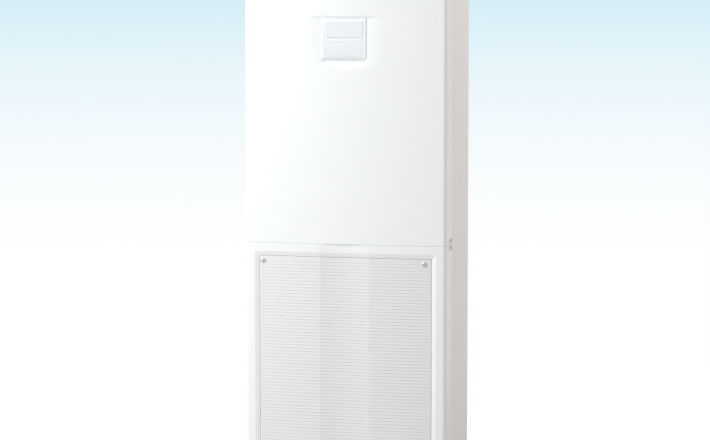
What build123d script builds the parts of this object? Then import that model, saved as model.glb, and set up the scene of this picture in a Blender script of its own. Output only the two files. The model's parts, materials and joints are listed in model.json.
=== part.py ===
from build123d import *

import os
from math import asin, degrees, radians, sin, sqrt

# Floor standing air conditioner, the indoor unit: a tall steel cabinet with a moulded, gently convex front.
# Room air enters through the suction grille and filter at the foot, two drum fans push it up through a
# sloping heat exchanger, and it leaves through louvre blades and vanes at the top.
# Millimetres. +Z is up, the front faces -Y, +X is the right side seen from the front.
# The origin is on the floor, under the middle of the cabinet.

# ---- the cabinet ---------------------------------------------------------------------------------
width = 600.0
depth = 350.0
height = 1850.0
front_bulge = 11.0        # how far the middle of the front stands forward of its corners
corner_r = 10.0
front_return = 88.0       # how far the moulded front wraps round each side
skin_t = 3.0              # moulded plastic
sheet_t = 1.2             # cabinet steel
seam_gap = 0.8            # between the three pieces of the front
rim = 14.0                # turned-in edge of a front piece, from its outer skin
fit_gap = 0.3             # between pieces that are set in beside each other
screw_head_h = 2.0        # the rear screws' heads are the rearmost thing
over = 1.0                # cutters and overlaps run past a face by this
hole_reach = 12.0         # how far a drill goes from a panel's face
deep_reach = 40.0         # and from the front's skin to what lies behind it

base_h = 60.0
seam_low = 805.0          # lower to upper front panel
outlet_h = 328.0          # from the seam under the outlet frame to the top

seam_high = height - outlet_h
x_side = width / 2
y_front = -depth / 2
y_corner = y_front + front_bulge
y_seam = y_corner + front_return
y_rear = depth / 2 - screw_head_h
x_in = x_side - sheet_t
y_rear_in = y_rear - 2 * sheet_t         # inside the side panels' rear flange and the rear panel
y_flange_in = y_seam + seam_gap + sheet_t  # inside the side panels' front flange
front_arc_r = (x_side**2 + front_bulge**2) / (2 * front_bulge)
y_arc_centre = y_front + front_arc_r

# ---- trough down the lower panel and the grille --------------------------------------------------
trough_half = 72.0
trough_depth = 5.0

# ---- controller and its recess -------------------------------------------------------------------
controller_w = 132.0
controller_h = 126.0
controller_drop = 122.0   # from the seam above to the controller's middle
bezel_corner_r = 3.0
bezel_chamfer = 1.5
recess_depth = 10.0
recess_top_gap = 4.0
recess_foot_gap = 10.0
recess_half_top = 128.0
recess_half_foot = 114.0
recess_corner_r = 50.0
recess_floor_gap = 3.0    # between the controller and the foot of the recess wall
cable_hole_r = 14.0
bezel_border = 12.0
face_step = 1.0           # the bezel stands this far behind the face
flap_h = 56.0
flap_t = 2.5
flap_gap = 0.4
flap_pin_r = 0.9
flap_pin_len = 4.0
window_h = 44.0
window_t = 1.5
face_margin = 2.0         # of the face round the window
face_foot = 13.0          # below the face, on the bezel
foot_slope_h = 10.0       # the bezel's foot slopes back to the wall
foot_slope_d = 7.5
button_gap = 0.2
button_t = 1.6
button_w = 20.0
button_h = 9.0
button_travel = 0.8       # each button has this much room behind it, and half as much again
button_pitch = 32.0
button_rise = 30.0        # from the flap's hinge line to the buttons
running_gap = 0.05        # shaft to hole

# ---- suction grille and its opening --------------------------------------------------------------
grille_drop = 39.0        # from the seam above to the grille's top
grille_bottom = 110.0
grille_side = 43.0        # from the cabinet's side to the grille
grille_gap = 1.0
grille_recess = 5.0
grille_skin = 2.5
grille_rim_depth = 25.0   # from the front
bevel_w = 8.0
bevel_backing = 4.0       # plastic left behind a bevel
collar_t = 3.0
hinge_depth = 16.0        # from the front to the hinge axis
collar_depth = 28.0       # from the front to the rear of the opening's collar
hinge_pin_r = 2.0
hinge_boss_r = 4.5
hinge_boss_len = 16.0
slat_pitch = 9.4
slot_h = 4.8
slot_end_gap = 6.0
slot_spare = 2.0          # cut into the ribs behind the slats
screw_land = 4.0          # plain skin round a grille screw
slot_margin = 14.0
rib_t = 2.0
rib_back_depth = 23.0     # from the front to the ribs' rear edges
rib_depth = 30.0
rib_count = 5
rib_side_gap = 5.0
grille_screw_in = (10.5, 21.0)  # from the grille's left and right edges
grille_screw_drop = 14.0
grille_screw_head_r = 7.0
grille_screw_head_h = 2.4
grille_screw_slot_w = 2.0
grille_screw_slot_d = 0.8
grille_screw_r = 2.0
screw_hole_play = 1.0     # round a grille screw in the lower panel's tab
screw_tab_w = 18.0
screw_tab_drop = 8.0
screw_tab_gap = 0.3
notch_len = 48.0
notch_h = 17.0
notch_edge = 3.0
catch_in = 15.0           # from the cabinet's side to a catch plate
catch_t = 2.0
catch_foot = 6.0

# ---- air filter ----------------------------------------------------------------------------------
filter_t = 6.0
filter_play = 0.5
filter_lift = 30.0
filter_border = 12.0
rail_wall = 1.8
rail_lip = 11.0
rail_spare = 12.0         # above the raised filter
rail_gap = 0.5            # from the opening's collar to the filter's edge
mesh_t = 1.0
filter_below = 3.0        # below the grille's foot
filter_head_gap = 14.0    # below the grille's top

# ---- air outlet ----------------------------------------------------------------------------------
mouth_side = 42.0         # from the cabinet's side to the mouth
mouth_foot_gap = 30.0     # from the seam below
mouth_head_gap = 30.0     # from the top
outlet_bevel_w = 6.0
outlet_bevel_d = 4.0
blade_count = 5
blade_chord = 48.0
blade_t = 3.0
blade_depth = 35.0        # from the front to the blades' axes
blade_rest_tilt = 20.0    # front edge down
blade_left_gap = 3.0
blade_right_gap = 14.0    # room for the link bar
blade_pin_r = 3.0
arm_t = 2.0
arm_r = 14.0              # from a blade's or a vane's pivot to its link pin
arm_h = 7.0
link_pin_r = 1.5
link_slot_r = 1.85
link_swing = 2.6          # a link pin's sideways travel over the whole swing
link_w = 10.0
link_t = 3.0
link_side_gap = 2.0
vane_count = 6
vane_chord = 36.0
vane_t = 2.0
vane_depth = 83.0
vane_side_gap = 6.0
vane_pin_r = 2.5
vane_foot_gap = 10.0
vane_head_gap = 8.0
vane_link_z = 3.0         # above the floor of the duct
swing_motor_r = 14.0
swing_motor_len = 20.0
swing_shaft_len = 7.0
motor_ear_t = 2.0
motor_ear_w = 8.0
pin_proud = 1.0           # a link pin's end, past the link
duct_depth = 121.0        # from the front to the duct plate
guide_r = 288.0
guide_foot_t = 12.0
guide_foot_drop = 7.0     # below the mouth
guide_side = 25.0         # from the cabinet's side
guide_gap = 2.0           # behind the mouth's collar

# ---- chassis -------------------------------------------------------------------------------------
post_w = 20.0
post_t = 2.0
post_head_gap = 22.0
cross_h = 20.0
rear_bar_up = 60.0        # above the fan deck
rear_bar_down = 410.0     # below the top
cover_flange = 19.0
side_flange = 20.0
plinth_inset = 4.0
plinth_wall = 2.0
foot_flange = 40.0
anchor_in = 50.0          # from the cabinet's side
anchor_dy = depth - 70.0
anchor_r = 6.0
plinth_depth = 19.0       # from the front to the plinth

# ---- fans ----------------------------------------------------------------------------------------
deck_drop = 105.0         # below the front's lower seam
deck_rear_gap = 23.0
deck_lip = 2.0            # of the deck, inside a scroll's outlet
pipe_clear = 6.0
fan_rear = 135.0          # from the rear panel to the fans' axis
fan_drop = 300.0          # below the deck
fan_inner_x = 75.0
fan_side = 78.0           # from the cabinet's side to a scroll
volute_front = 104.0
volute_foot = 114.0
volute_rear = 122.0
volute_tongue = 98.0
tongue_back = 4.0         # the scroll's tongue lies this far in front of the fan's axis
volute_wall = 1.5
inlet_r = 80.0
bell_w = 6.0
bell_len = 8.0
housing_flange = 5.0
impeller_r = 95.0
impeller_in_r = 80.0
impeller_clear = 3.5
impeller_blades = 30
impeller_blade_t = 1.5
impeller_blade_tilt = 30.0
impeller_ring_t = 3.0
impeller_disc_t = 3.0
hub_r = 14.0
hub_len = 24.0
shaft_r = 6.0
hub_fit = 0.02
motor_r = 55.0
motor_len = 92.0
motor_boss_r = 18.0
motor_boss_len = 8.0
motor_edge_r = 6.0
shaft_spare = 10.0        # past the impellers' hubs
bracket_gap = 4.0
bracket_t = 2.0
bracket_w = 56.0
bracket_drop = 10.0       # below the motor's bosses

# ---- heat exchanger, pipes and drain -------------------------------------------------------------
coil_t = 44.0
coil_len = 620.0
coil_reach = 160.5        # how far the coil leans back over its length
coil_foot_rise = 36.4     # above the deck
coil_foot_y_in = 34.8     # behind the drain pan's front
coil_left_side = 42.0     # from the cabinet's sides to the fins
coil_right_side = 78.0
plate_t = 1.5
plate_edge = 4.0
plate_foot_w = 30.0
plate_foot_lap = 20.0
tube_r = 4.76
tube_fit = 0.04
tube_pitch = 38.0
tube_margin = 12.0
row_pitch = 22.0
tube_stub = 8.0
tube_out = 2.0            # straight part of a tube outside the end plates
pipe_side = 38.0          # from the cabinet's side to the pipes
gas_r = 7.94
gas_rear = 113.0          # from the rear panel
gas_out_z = 130.0
liquid_r = 4.76
liquid_rear = 77.0
liquid_out_z = 190.0
pipe_bend_r = 22.0
pipe_turn_drop = 76.0     # below the coil's head
pipe_end_gap = 5.0        # inside the rear panel
union_hex_len = 16.0
union_len = 32.0          # the threaded stub outside the hexagon
union_fit = 0.05
union_hex_wall = 5.0
gas_union_r = 11.1
liquid_union_r = 7.9
pan_left_side = 10.0      # from the cabinet's sides
pan_right_side = 26.0
pan_w = 73.0
pan_gap = 1.0             # behind the duct plate
pan_h = 40.0
pan_t = 2.0
drain_in = 35.0           # from the pan's right end
drain_r = 13.0
drain_bore_r = 10.0
drain_hole_clear = 3.0
pipe_hole_left = 37.0     # beside the pipes
pipe_hole_right = 15.0
pipe_hole_margin = 25.0   # below and above them

# ---- electrical box ------------------------------------------------------------------------------
box_half = 180.0
box_rise = 35.0           # above the front's lower seam
box_h = 300.0
box_d = 70.0
board_w = 240.0
board_h = 180.0
board_t = 1.6
standoff = 8.0
standoff_r = 4.0
board_inset = 8.0
board_x = -40.0
board_drop = 30.0
terminal_w = 90.0
terminal_h = 28.0
terminal_d = 24.0
terminal_ways = 6
terminal_rise = 25.0
terminal_pocket = (3.0, 12.0)
terminal_pocket_d = 8.0
terminal_screw_z = 20.0
terminal_screw_d = 4.0

# ---- fastenings ----------------------------------------------------------------------------------
screw_r = 2.0
screw_len = 9.0
screw_head_r = 4.5
screw_fit = 0.05
screw_count = 5
screw_foot = 150.0        # above the floor
screw_head = 70.0         # below the top
wall_bracket_w = 260.0
wall_bracket_h = 70.0
wall_hole_dx = 200.0
wall_hole_r = 3.0

# ---- places worked out from the sizes above ----------------------------------------------------
controller_z = seam_high - controller_drop
grille_top = seam_low - grille_drop
grille_half = x_side - grille_side
grille_rim_back = y_front + grille_rim_depth
hinge_y = y_front + hinge_depth
nose_r = hinge_depth - grille_recess + fit_gap  # of the grille's round foot
collar_back = y_front + collar_depth
rib_back = y_front + rib_back_depth
rib_pitch = 2 * (grille_half - rib_side_gap) / (rib_count + 1)
grille_screw_x = (-grille_half + grille_screw_in[0], grille_half - grille_screw_in[1])
filter_bottom = grille_bottom - filter_below
filter_top = grille_top - filter_head_gap
mouth_half = x_side - mouth_side
mouth_bottom = seam_high + mouth_foot_gap
mouth_top = height - mouth_head_gap
blade_y = y_front + blade_depth
blade_left = -mouth_half + blade_left_gap
blade_right = mouth_half - blade_right_gap
vane_pitch = 2 * (mouth_half - vane_side_gap) / vane_count
vane_y = y_front + vane_depth
duct_plate_y = y_front + duct_depth
guide_foot_z = mouth_bottom - guide_foot_drop
guide_half = x_side - guide_side
post_top = height - post_head_gap
deck_z = seam_low - deck_drop
deck_rear_y = y_rear - deck_rear_gap
fan_y = y_rear - fan_rear
fan_z = deck_z - fan_drop
fan_x0 = fan_inner_x
fan_x1 = x_side - fan_side
tongue_y = fan_y - tongue_back
rear_bar_z = (deck_z + rear_bar_up, height - rear_bar_down)
anchor_dx = width - 2 * anchor_in
plinth_y0 = y_front + plinth_depth
pan_x0 = -x_side + pan_left_side
pan_x1 = x_side - pan_right_side
pan_y0 = duct_plate_y + pan_gap
pan_y1 = pan_y0 + pan_w
coil_x0 = -x_side + coil_left_side
coil_x1 = x_side - coil_right_side
lean_s = coil_reach / coil_len
lean_c = sqrt(1 - lean_s**2)
coil_tilt = degrees(asin(lean_s))
coil_y = pan_y0 + coil_foot_y_in + lean_s * coil_len / 2
coil_z = deck_z + coil_foot_rise + lean_c * coil_len / 2 + sheet_t
tube_count = 2 * int((coil_len - tube_margin) / (2 * tube_pitch))
pipe_x = x_side - pipe_side
gas_y = y_rear - gas_rear
liquid_y = y_rear - liquid_rear
pipe_end_y = y_rear - pipe_end_gap
drain_x = pan_x1 - drain_in
pipe_hole_x = (pipe_x - pipe_hole_left, pipe_x + pipe_hole_right)
pipe_hole_z = (gas_out_z - pipe_hole_margin, liquid_out_z + pipe_hole_margin)
box_z0 = seam_low + box_rise
screw_pitch = (height - screw_head - screw_foot) / (screw_count - 1)
screw_levels = [screw_foot + i * screw_pitch for i in range(screw_count)]

os.makedirs("parts", exist_ok=True)


def save(piece, label):
    """Name a finished piece and write it."""
    piece.part.label = label
    export_step(piece.part, f"parts/{label}.step")


def block(x, y, z, mode=Mode.ADD):
    """A box between two values on each axis, in the part being built."""
    with Locations(((x[0] + x[1]) / 2, (y[0] + y[1]) / 2, (z[0] + z[1]) / 2)):
        Box(x[1] - x[0], y[1] - y[0], z[1] - z[0], mode=mode)


def rod(start, direction, radius, length):
    """A round bar from a point along a direction, in the part being built."""
    with Locations(Plane(origin=start, z_dir=direction)):
        Cylinder(radius, length, align=(Align.CENTER, Align.CENTER, Align.MIN))


def hole(start, direction, radius, reach=hole_reach):
    """A round hole from a point along a direction, through the part being built."""
    with Locations(Plane(origin=start, z_dir=direction)):
        Cylinder(radius, reach, align=(Align.CENTER, Align.CENTER, Align.MIN), mode=Mode.SUBTRACT)


def front_y(x, inset=0.0):
    """Where the convex front's surface lies at x, `inset` behind its outer skin."""
    return y_arc_centre - sqrt((front_arc_r - inset) ** 2 - x**2)


def front_outline(inset, trough=False):
    """Plan of the front piece, `inset` inside its outer skin, as a closed face back to the side seam."""
    half = x_side - inset
    arc_r = front_arc_r - inset
    corner = (half, front_y(half, inset))
    with BuildSketch(Plane.XY, mode=Mode.PRIVATE) as outline:
        with BuildLine():
            if trough:
                lip_y = front_y(trough_half)
                floor_y = y_front + trough_depth
                sag = floor_y - lip_y
                trough_r = (trough_half**2 + sag**2) / (2 * sag)
                y_centre = floor_y - trough_r
                hollow_r = trough_r + inset
                edge_y = (hollow_r**2 - arc_r**2 - y_centre**2 + y_arc_centre**2) / 2
                edge_y /= y_arc_centre - y_centre
                edge_x = sqrt(arc_r**2 - (edge_y - y_arc_centre) ** 2)
                mid = (half + edge_x) / 2
                ThreePointArc((-half, corner[1]), (-mid, front_y(mid, inset)), (-edge_x, edge_y))
                ThreePointArc((-edge_x, edge_y), (0, y_centre + hollow_r), (edge_x, edge_y))
                ThreePointArc((edge_x, edge_y), (mid, front_y(mid, inset)), corner)
            else:
                ThreePointArc((-half, corner[1]), (0, y_front + inset), corner)
            Polyline(corner, (half, y_seam), (-half, y_seam), (-half, corner[1]))
        make_face()
        bends = [v for v in outline.vertices() if abs(abs(v.X) - half) < 0.01 and v.Y < y_seam - 1]
        fillet(bends, max(corner_r - inset, 1.0))
    return outline.sketch


def front_layer(z0, z1, outer, inner):
    """Add the material between two plans of the front, from z0 to z1."""
    with BuildSketch(Plane.XY.offset(z0), mode=Mode.PRIVATE) as layer:
        add(outer)
        add(inner, mode=Mode.SUBTRACT)
    extrude(layer.sketch, amount=z1 - z0)


def bevel_cutter(half, z, wide, deep, trough=False):
    """The wedge that bevels the front edge of an opening, mitred at its corners."""
    with BuildPart() as cutter:
        block((-half - wide, half + wide), (y_front - over, front_y(half, deep)), (z[0] - wide, z[1] + wide))
        for side in (-1, 1):
            with BuildSketch(Plane.XY.offset(z[0] - wide - over)):
                with BuildLine():
                    Polyline(
                        (side * half, front_y(half, deep)),
                        (side * (half + wide), front_y(half + wide)),
                        (side * (half + wide + over), front_y(half + wide)),
                        (side * (half + wide + over), y_seam),
                        (side * half, y_seam),
                        close=True,
                    )
                make_face()
            extrude(amount=z[1] - z[0] + 2 * (wide + over), mode=Mode.SUBTRACT)
        for level, outward in ((z[0], -wide), (z[1], wide)):
            with BuildSketch(Plane.XY.offset(level)):
                add(front_outline(deep, trough))
            with BuildSketch(Plane.XY.offset(level + outward)):
                add(front_outline(0, trough))
            loft(mode=Mode.SUBTRACT)
    return cutter.part


def framed_opening(half, z, wide, outer, inner):
    """Thicken the skin round an opening that gets a bevel `wide` across, between two plans of the front."""
    reach = wide + skin_t
    with BuildSketch(Plane.XY.offset(z[0] - reach), mode=Mode.PRIVATE) as ring:
        add(outer)
        add(inner, mode=Mode.SUBTRACT)
        with Locations((0, y_front)):
            Rectangle(2 * (half + reach), 2 * deep_reach, mode=Mode.INTERSECT)
    extrude(ring.sketch, amount=z[1] - z[0] + 2 * reach)


def finger_notch(side, z0, z1):
    """Cut a finger notch through the return edge of a front piece."""
    x = sorted((side * (x_side - skin_t - over), side * (x_side + over)))
    block(x, (y_seam - notch_len, y_seam + over), (z0, z1), mode=Mode.SUBTRACT)


plain_outer = front_outline(0)
plain_inner = front_outline(skin_t)
plain_rim = front_outline(rim)
trough_outer = front_outline(0, trough=True)
trough_inner = front_outline(skin_t, trough=True)
trough_rim = front_outline(rim, trough=True)
trough_frame = front_outline(grille_recess + bevel_backing, trough=True)
plain_frame = front_outline(outlet_bevel_d + bevel_backing)

# ==== cabinet =====================================================================================

# Plinth with a floor flange that takes the anchors, and the closed deck that the chassis stands on.
plinth_half = x_side - plinth_inset
plinth_mid_y = (plinth_y0 + y_rear_in) / 2
with BuildPart() as base_frame:
    block((-plinth_half, plinth_half), (plinth_y0, y_rear_in), (0, base_h))
    block(
        (-plinth_half + plinth_wall, plinth_half - plinth_wall),
        (plinth_y0 + plinth_wall, y_rear_in - plinth_wall),
        (plinth_wall, base_h - plinth_wall),
        mode=Mode.SUBTRACT,
    )
    block(
        (-plinth_half + foot_flange, plinth_half - foot_flange),
        (plinth_y0 + foot_flange, y_rear_in - foot_flange),
        (-over, plinth_wall + over),
        mode=Mode.SUBTRACT,
    )
    with Locations((0, 0, plinth_wall)):
        with GridLocations(anchor_dx, anchor_dy, 2, 2):
            Hole(anchor_r, depth=plinth_wall)
save(base_frame, "base_frame")

# Four angle posts, tied by flat bars behind the front's seams, at the rear and at the top of the sides.
bar_half = x_in - post_w + over
screw_x = x_in - post_w / 2
with BuildPart() as chassis_frame:
    for side in (-1, 1):
        outer = side * x_in
        for y_plate, y_leg in ((y_flange_in, 1), (y_rear_in, -1)):
            plate = sorted((y_plate, y_plate + y_leg * post_t))
            leg = sorted((y_plate, y_plate + y_leg * post_w))
            block(sorted((outer, outer - side * post_w)), plate, (base_h, post_top))
            block(sorted((outer, outer - side * post_t)), leg, (base_h, post_top))
        block(
            sorted((outer, outer - side * post_t)),
            (y_flange_in + post_w - over, y_rear_in - post_w + over),
            (post_top - cross_h, post_top),
        )
    for z in (seam_low, seam_high):
        block((-bar_half, bar_half), (y_flange_in, y_flange_in + post_t), (z - cross_h / 2, z + cross_h / 2))
    for z in rear_bar_z:
        block((-bar_half, bar_half), (y_rear_in - post_t, y_rear_in), (z, z + cross_h))
    for side in (-1, 1):
        for z in screw_levels:
            hole((side * screw_x, y_rear + over, z), (0, -1, 0), screw_r + screw_fit)
save(chassis_frame, "chassis_frame")

# Side panels: one sheet each, folded in at the front seam and round the rear corner.
for side, name in ((-1, "left_side_panel"), (1, "right_side_panel")):
    panel_head = height - sheet_t
    with BuildPart() as side_panel:
        block(sorted((side * x_side, side * x_in)), (y_seam + seam_gap, y_rear), (base_h, panel_head))
        block(
            sorted((side * x_side, side * (x_side - side_flange))),
            (y_seam + seam_gap, y_flange_in),
            (base_h, panel_head),
        )
        flange = sorted((side * x_side, side * (x_side - side_flange)))
        block(flange, (y_rear - sheet_t, y_rear), (base_h, panel_head))
        folds = [e for e in side_panel.edges().filter_by(Axis.Z) if abs(e.center().X * side - x_side) < 0.01]
        fillet(folds, sheet_t * 0.9)
        for z in screw_levels:
            hole((side * screw_x, y_rear + over, z), (0, -1, 0), screw_r + screw_fit)
    save(side_panel, name)

# Rear panel: a flat sheet with the pipe opening, the drain hole and screw holes.
drain_z = deck_z + sheet_t + pan_t + drain_r
wall_hole_z = height - sheet_t - wall_bracket_h / 2
with BuildPart() as rear_panel:
    block((-x_in + fit_gap, x_in - fit_gap), (y_rear_in, y_rear_in + sheet_t), (base_h, height - sheet_t))
    block(pipe_hole_x, (y_rear_in - over, y_rear + over), pipe_hole_z, mode=Mode.SUBTRACT)
    hole((drain_x, y_rear + over, drain_z), (0, -1, 0), drain_r + drain_hole_clear)
    for side in (-1, 1):
        for z in screw_levels:
            hole((side * screw_x, y_rear + over, z), (0, -1, 0), screw_r + screw_fit)
        hole((side * wall_hole_dx / 2, y_rear + over, wall_hole_z), (0, -1, 0), wall_hole_r)
save(rear_panel, "rear_panel")

# Top cover: a lid on the side panels, with flanges down inside them and the rear panel.
with BuildPart() as top_cover:
    block((-x_side, x_side), (y_seam + seam_gap, y_rear), (height - sheet_t, height))
    for side in (-1, 1):
        edge = side * (x_in - fit_gap)
        block(
            sorted((edge, edge - side * sheet_t)),
            (y_flange_in + fit_gap, y_rear_in - fit_gap),
            (height - sheet_t - cover_flange, height - sheet_t),
        )
    block(
        (-x_in + fit_gap, x_in - fit_gap),
        (y_rear_in - fit_gap - sheet_t, y_rear_in - fit_gap),
        (height - sheet_t - cover_flange, height - sheet_t),
    )
save(top_cover, "top_cover")

# Screws through the side panels' rear flanges, the rear panel and the posts.
with BuildPart() as casing_screws:
    for side in (-1, 1):
        for z in screw_levels:
            rod((side * screw_x, y_rear, z), (0, -1, 0), screw_r, screw_len)
            rod((side * screw_x, y_rear, z), (0, 1, 0), screw_head_r, screw_head_h)
save(casing_screws, "casing_screws")

# Wall bracket: the plate at the top of the back that ties the unit to a wall.
with BuildPart() as wall_bracket:
    block(
        (-wall_bracket_w / 2, wall_bracket_w / 2),
        (y_rear - sheet_t, y_rear),
        (wall_hole_z - wall_bracket_h / 2, wall_hole_z + wall_bracket_h / 2),
    )
    for side in (-1, 1):
        hole((side * wall_hole_dx / 2, y_rear + over, wall_hole_z), (0, -1, 0), wall_hole_r)
save(wall_bracket, "wall_bracket")

# Catch plates behind the finger notches: an angle on each side panel's front flange.
catch_x = x_side - catch_in
with BuildPart() as panel_catches:
    for side in (-1, 1):
        block(
            sorted((side * catch_x, side * (catch_x - catch_t))),
            (y_seam - notch_len, y_seam + seam_gap),
            (seam_low - 2 * notch_h, seam_low + 2 * notch_h),
        )
        block(
            sorted((side * (catch_x - catch_t), side * (x_side - side_flange - catch_foot))),
            (y_seam + seam_gap - catch_t, y_seam + seam_gap),
            (seam_low - 2 * notch_h, seam_low + 2 * notch_h),
        )
save(panel_catches, "panel_catches")

# ==== front pieces ================================================================================

controller_top = controller_z + controller_h / 2
controller_foot = controller_z - controller_h / 2
recess_floor_y = y_front + recess_depth


def recess_outline(offset, half_top, half_foot, top, foot, corner):
    """The recess's tub shape on an upright plane, ready for a loft."""
    with BuildSketch(Plane.XZ.offset(-offset), mode=Mode.PRIVATE) as tub:
        with BuildLine():
            Polyline((-half_top, top), (half_top, top), (half_foot, foot), (-half_foot, foot), close=True)
        make_face()
        fillet(tub.vertices().group_by(Axis.Y)[0], corner)
    return tub.sketch


def recess(grow, mode):
    """The scooped recess for the controller, or with `grow` the tub of material round it."""
    floor_half = controller_w / 2 + recess_floor_gap
    mouth = recess_outline(
        y_front - over + grow,
        recess_half_top + grow,
        recess_half_foot + grow,
        controller_top + recess_top_gap + grow,
        controller_foot - recess_foot_gap - grow,
        recess_corner_r,
    )
    floor = recess_outline(
        recess_floor_y + grow,
        floor_half + grow,
        floor_half + grow,
        controller_top + recess_top_gap + grow,
        controller_foot - recess_floor_gap - grow,
        corner_r,
    )
    loft([mouth, floor], mode=mode)


# Upper front panel: convex, with the recess for the controller and a cable hole in its floor.
upper_z0 = seam_low + seam_gap / 2
upper_z1 = seam_high - seam_gap / 2
with BuildPart() as upper_front_panel:
    front_layer(upper_z0, upper_z1, plain_outer, plain_inner)
    front_layer(upper_z0, upper_z0 + skin_t, plain_outer, plain_rim)
    front_layer(upper_z1 - skin_t, upper_z1, plain_outer, plain_rim)
    recess(skin_t, Mode.ADD)
    with BuildSketch(Plane.XY.offset(upper_z0)):
        with Locations((0, y_front - deep_reach / 2)):
            Rectangle(width + 2 * over, deep_reach)
        add(plain_outer, mode=Mode.SUBTRACT)
    extrude(amount=upper_z1 - upper_z0, mode=Mode.SUBTRACT)
    recess(0, Mode.SUBTRACT)
    hole((0, y_front, controller_z), (0, 1, 0), cable_hole_r, deep_reach)
    for side in (-1, 1):
        finger_notch(side, upper_z0 + notch_edge, upper_z0 + notch_edge + notch_h)
save(upper_front_panel, "upper_front_panel")

# Lower front panel: convex with the trough, and the framed opening that the suction grille closes.
lower_z0 = base_h
lower_z1 = seam_low - seam_gap / 2
open_half = grille_half + grille_gap
open_z = (grille_bottom - grille_gap, grille_top + grille_gap)
hinge_z = grille_bottom + nose_r
grille_bevel = bevel_cutter(open_half, open_z, bevel_w, grille_recess, trough=True)
with BuildPart() as lower_front_panel:
    front_layer(lower_z0, lower_z1, trough_outer, trough_inner)
    front_layer(lower_z0, lower_z0 + skin_t, trough_outer, trough_rim)
    front_layer(lower_z1 - skin_t, lower_z1, trough_outer, trough_rim)
    framed_opening(open_half, open_z, bevel_w, trough_outer, trough_frame)
    with BuildSketch(Plane.XY.offset(open_z[0] - collar_t)):
        with Locations((0, (y_front + collar_back) / 2)):
            Rectangle(2 * (open_half + collar_t), collar_back - y_front)
        add(trough_outer, mode=Mode.INTERSECT)
    extrude(amount=open_z[1] - open_z[0] + 2 * collar_t)
    block((-open_half, open_half), (y_front - over, collar_back + over), open_z, mode=Mode.SUBTRACT)
    add(grille_bevel, mode=Mode.SUBTRACT)
    for side in (-1, 1):
        finger_notch(side, lower_z1 - notch_edge - notch_h, lower_z1 - notch_edge)
        hole((side * (open_half - over), hinge_y, hinge_z), (side, 0, 0), hinge_pin_r + hub_fit)
    for x in grille_screw_x:
        tab_z = grille_top - grille_screw_drop
        tab_half = screw_tab_w / 2 if abs(x) + screw_tab_w / 2 < open_half else open_half - abs(x)
        block(
            (x - tab_half, x + tab_half),
            (grille_rim_back + screw_tab_gap, collar_back),
            (tab_z - screw_tab_drop, open_z[1] + over),
        )
        hole((x, y_front, tab_z), (0, 1, 0), grille_screw_r + screw_hole_play, deep_reach)
save(lower_front_panel, "lower_front_panel")

# Suction grille: a slatted skin set back in the opening, with a rim, ribs behind and a round foot.
grille_outer = front_outline(grille_recess, trough=True)
grille_inner = front_outline(grille_recess + grille_skin, trough=True)
slot_half = grille_half - slot_margin
slot_foot = hinge_z + slot_end_gap
slot_head = grille_top - slot_end_gap
slot_count = int((slot_head - slot_foot) / slat_pitch)
slot_z = [slot_foot + (i + 0.5) * slat_pitch for i in range(slot_count)]
slot_back = front_y(slot_half, grille_recess + grille_skin) + slot_spare
screw_clear = grille_screw_head_r + screw_land
short_from = grille_top - grille_screw_drop - screw_clear - slot_h / 2
with BuildPart() as suction_grille:
    with BuildSketch(Plane.XY.offset(grille_bottom)):
        add(grille_outer)
        with Locations((0, (y_front + grille_rim_back) / 2)):
            Rectangle(2 * grille_half, grille_rim_back - y_front, mode=Mode.INTERSECT)
    extrude(amount=grille_top - grille_bottom)
    with BuildSketch(Plane.XY.offset(grille_bottom + skin_t)):
        add(grille_inner)
        with Locations((0, (y_front + grille_rim_back + over) / 2)):
            Rectangle(2 * (grille_half - skin_t), grille_rim_back + over - y_front, mode=Mode.INTERSECT)
        with Locations((0, rib_back - rib_depth / 2)):
            with GridLocations(rib_pitch, 0, rib_count, 1):
                Rectangle(rib_t, rib_depth, mode=Mode.SUBTRACT)
    extrude(amount=grille_top - grille_bottom - 2 * skin_t, mode=Mode.SUBTRACT)
    for side in (-1, 1):
        rod((side * grille_half, hinge_y, hinge_z), (-side, 0, 0), hinge_boss_r, hinge_boss_len)
    for left, right, levels in (
        (-slot_half, slot_half, [z for z in slot_z if z < short_from]),
        (grille_screw_x[0] + screw_clear, grille_screw_x[1] - screw_clear, [z for z in slot_z if z >= short_from]),
    ):
        with Locations([((left + right) / 2, (y_front + slot_back) / 2, z) for z in levels]):
            Box(right - left, slot_back - y_front, slot_h, mode=Mode.SUBTRACT)
    with BuildSketch(Plane.YZ.offset(-grille_half - over)):
        with Locations((hinge_y, hinge_z - nose_r)):
            Rectangle(4 * nose_r, 2 * nose_r)
        with Locations((hinge_y, hinge_z)):
            Circle(nose_r, mode=Mode.SUBTRACT)
    extrude(amount=2 * (grille_half + over), mode=Mode.SUBTRACT)
    for side in (-1, 1):
        hole(
            (side * (grille_half + over), hinge_y, hinge_z),
            (-side, 0, 0),
            hinge_pin_r + running_gap,
            hinge_boss_len - over,
        )
    for x in grille_screw_x:
        hole((x, y_front, grille_top - grille_screw_drop), (0, 1, 0), grille_screw_r + hub_fit, deep_reach)
save(suction_grille, "suction_grille")

# The two hinge pins, held in the lower panel's frame.
with BuildPart() as grille_hinge_pins:
    for side in (-1, 1):
        rod((side * (open_half + collar_t), hinge_y, hinge_z), (-side, 0, 0), hinge_pin_r, hinge_boss_len)
save(grille_hinge_pins, "grille_hinge_pins")

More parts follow.
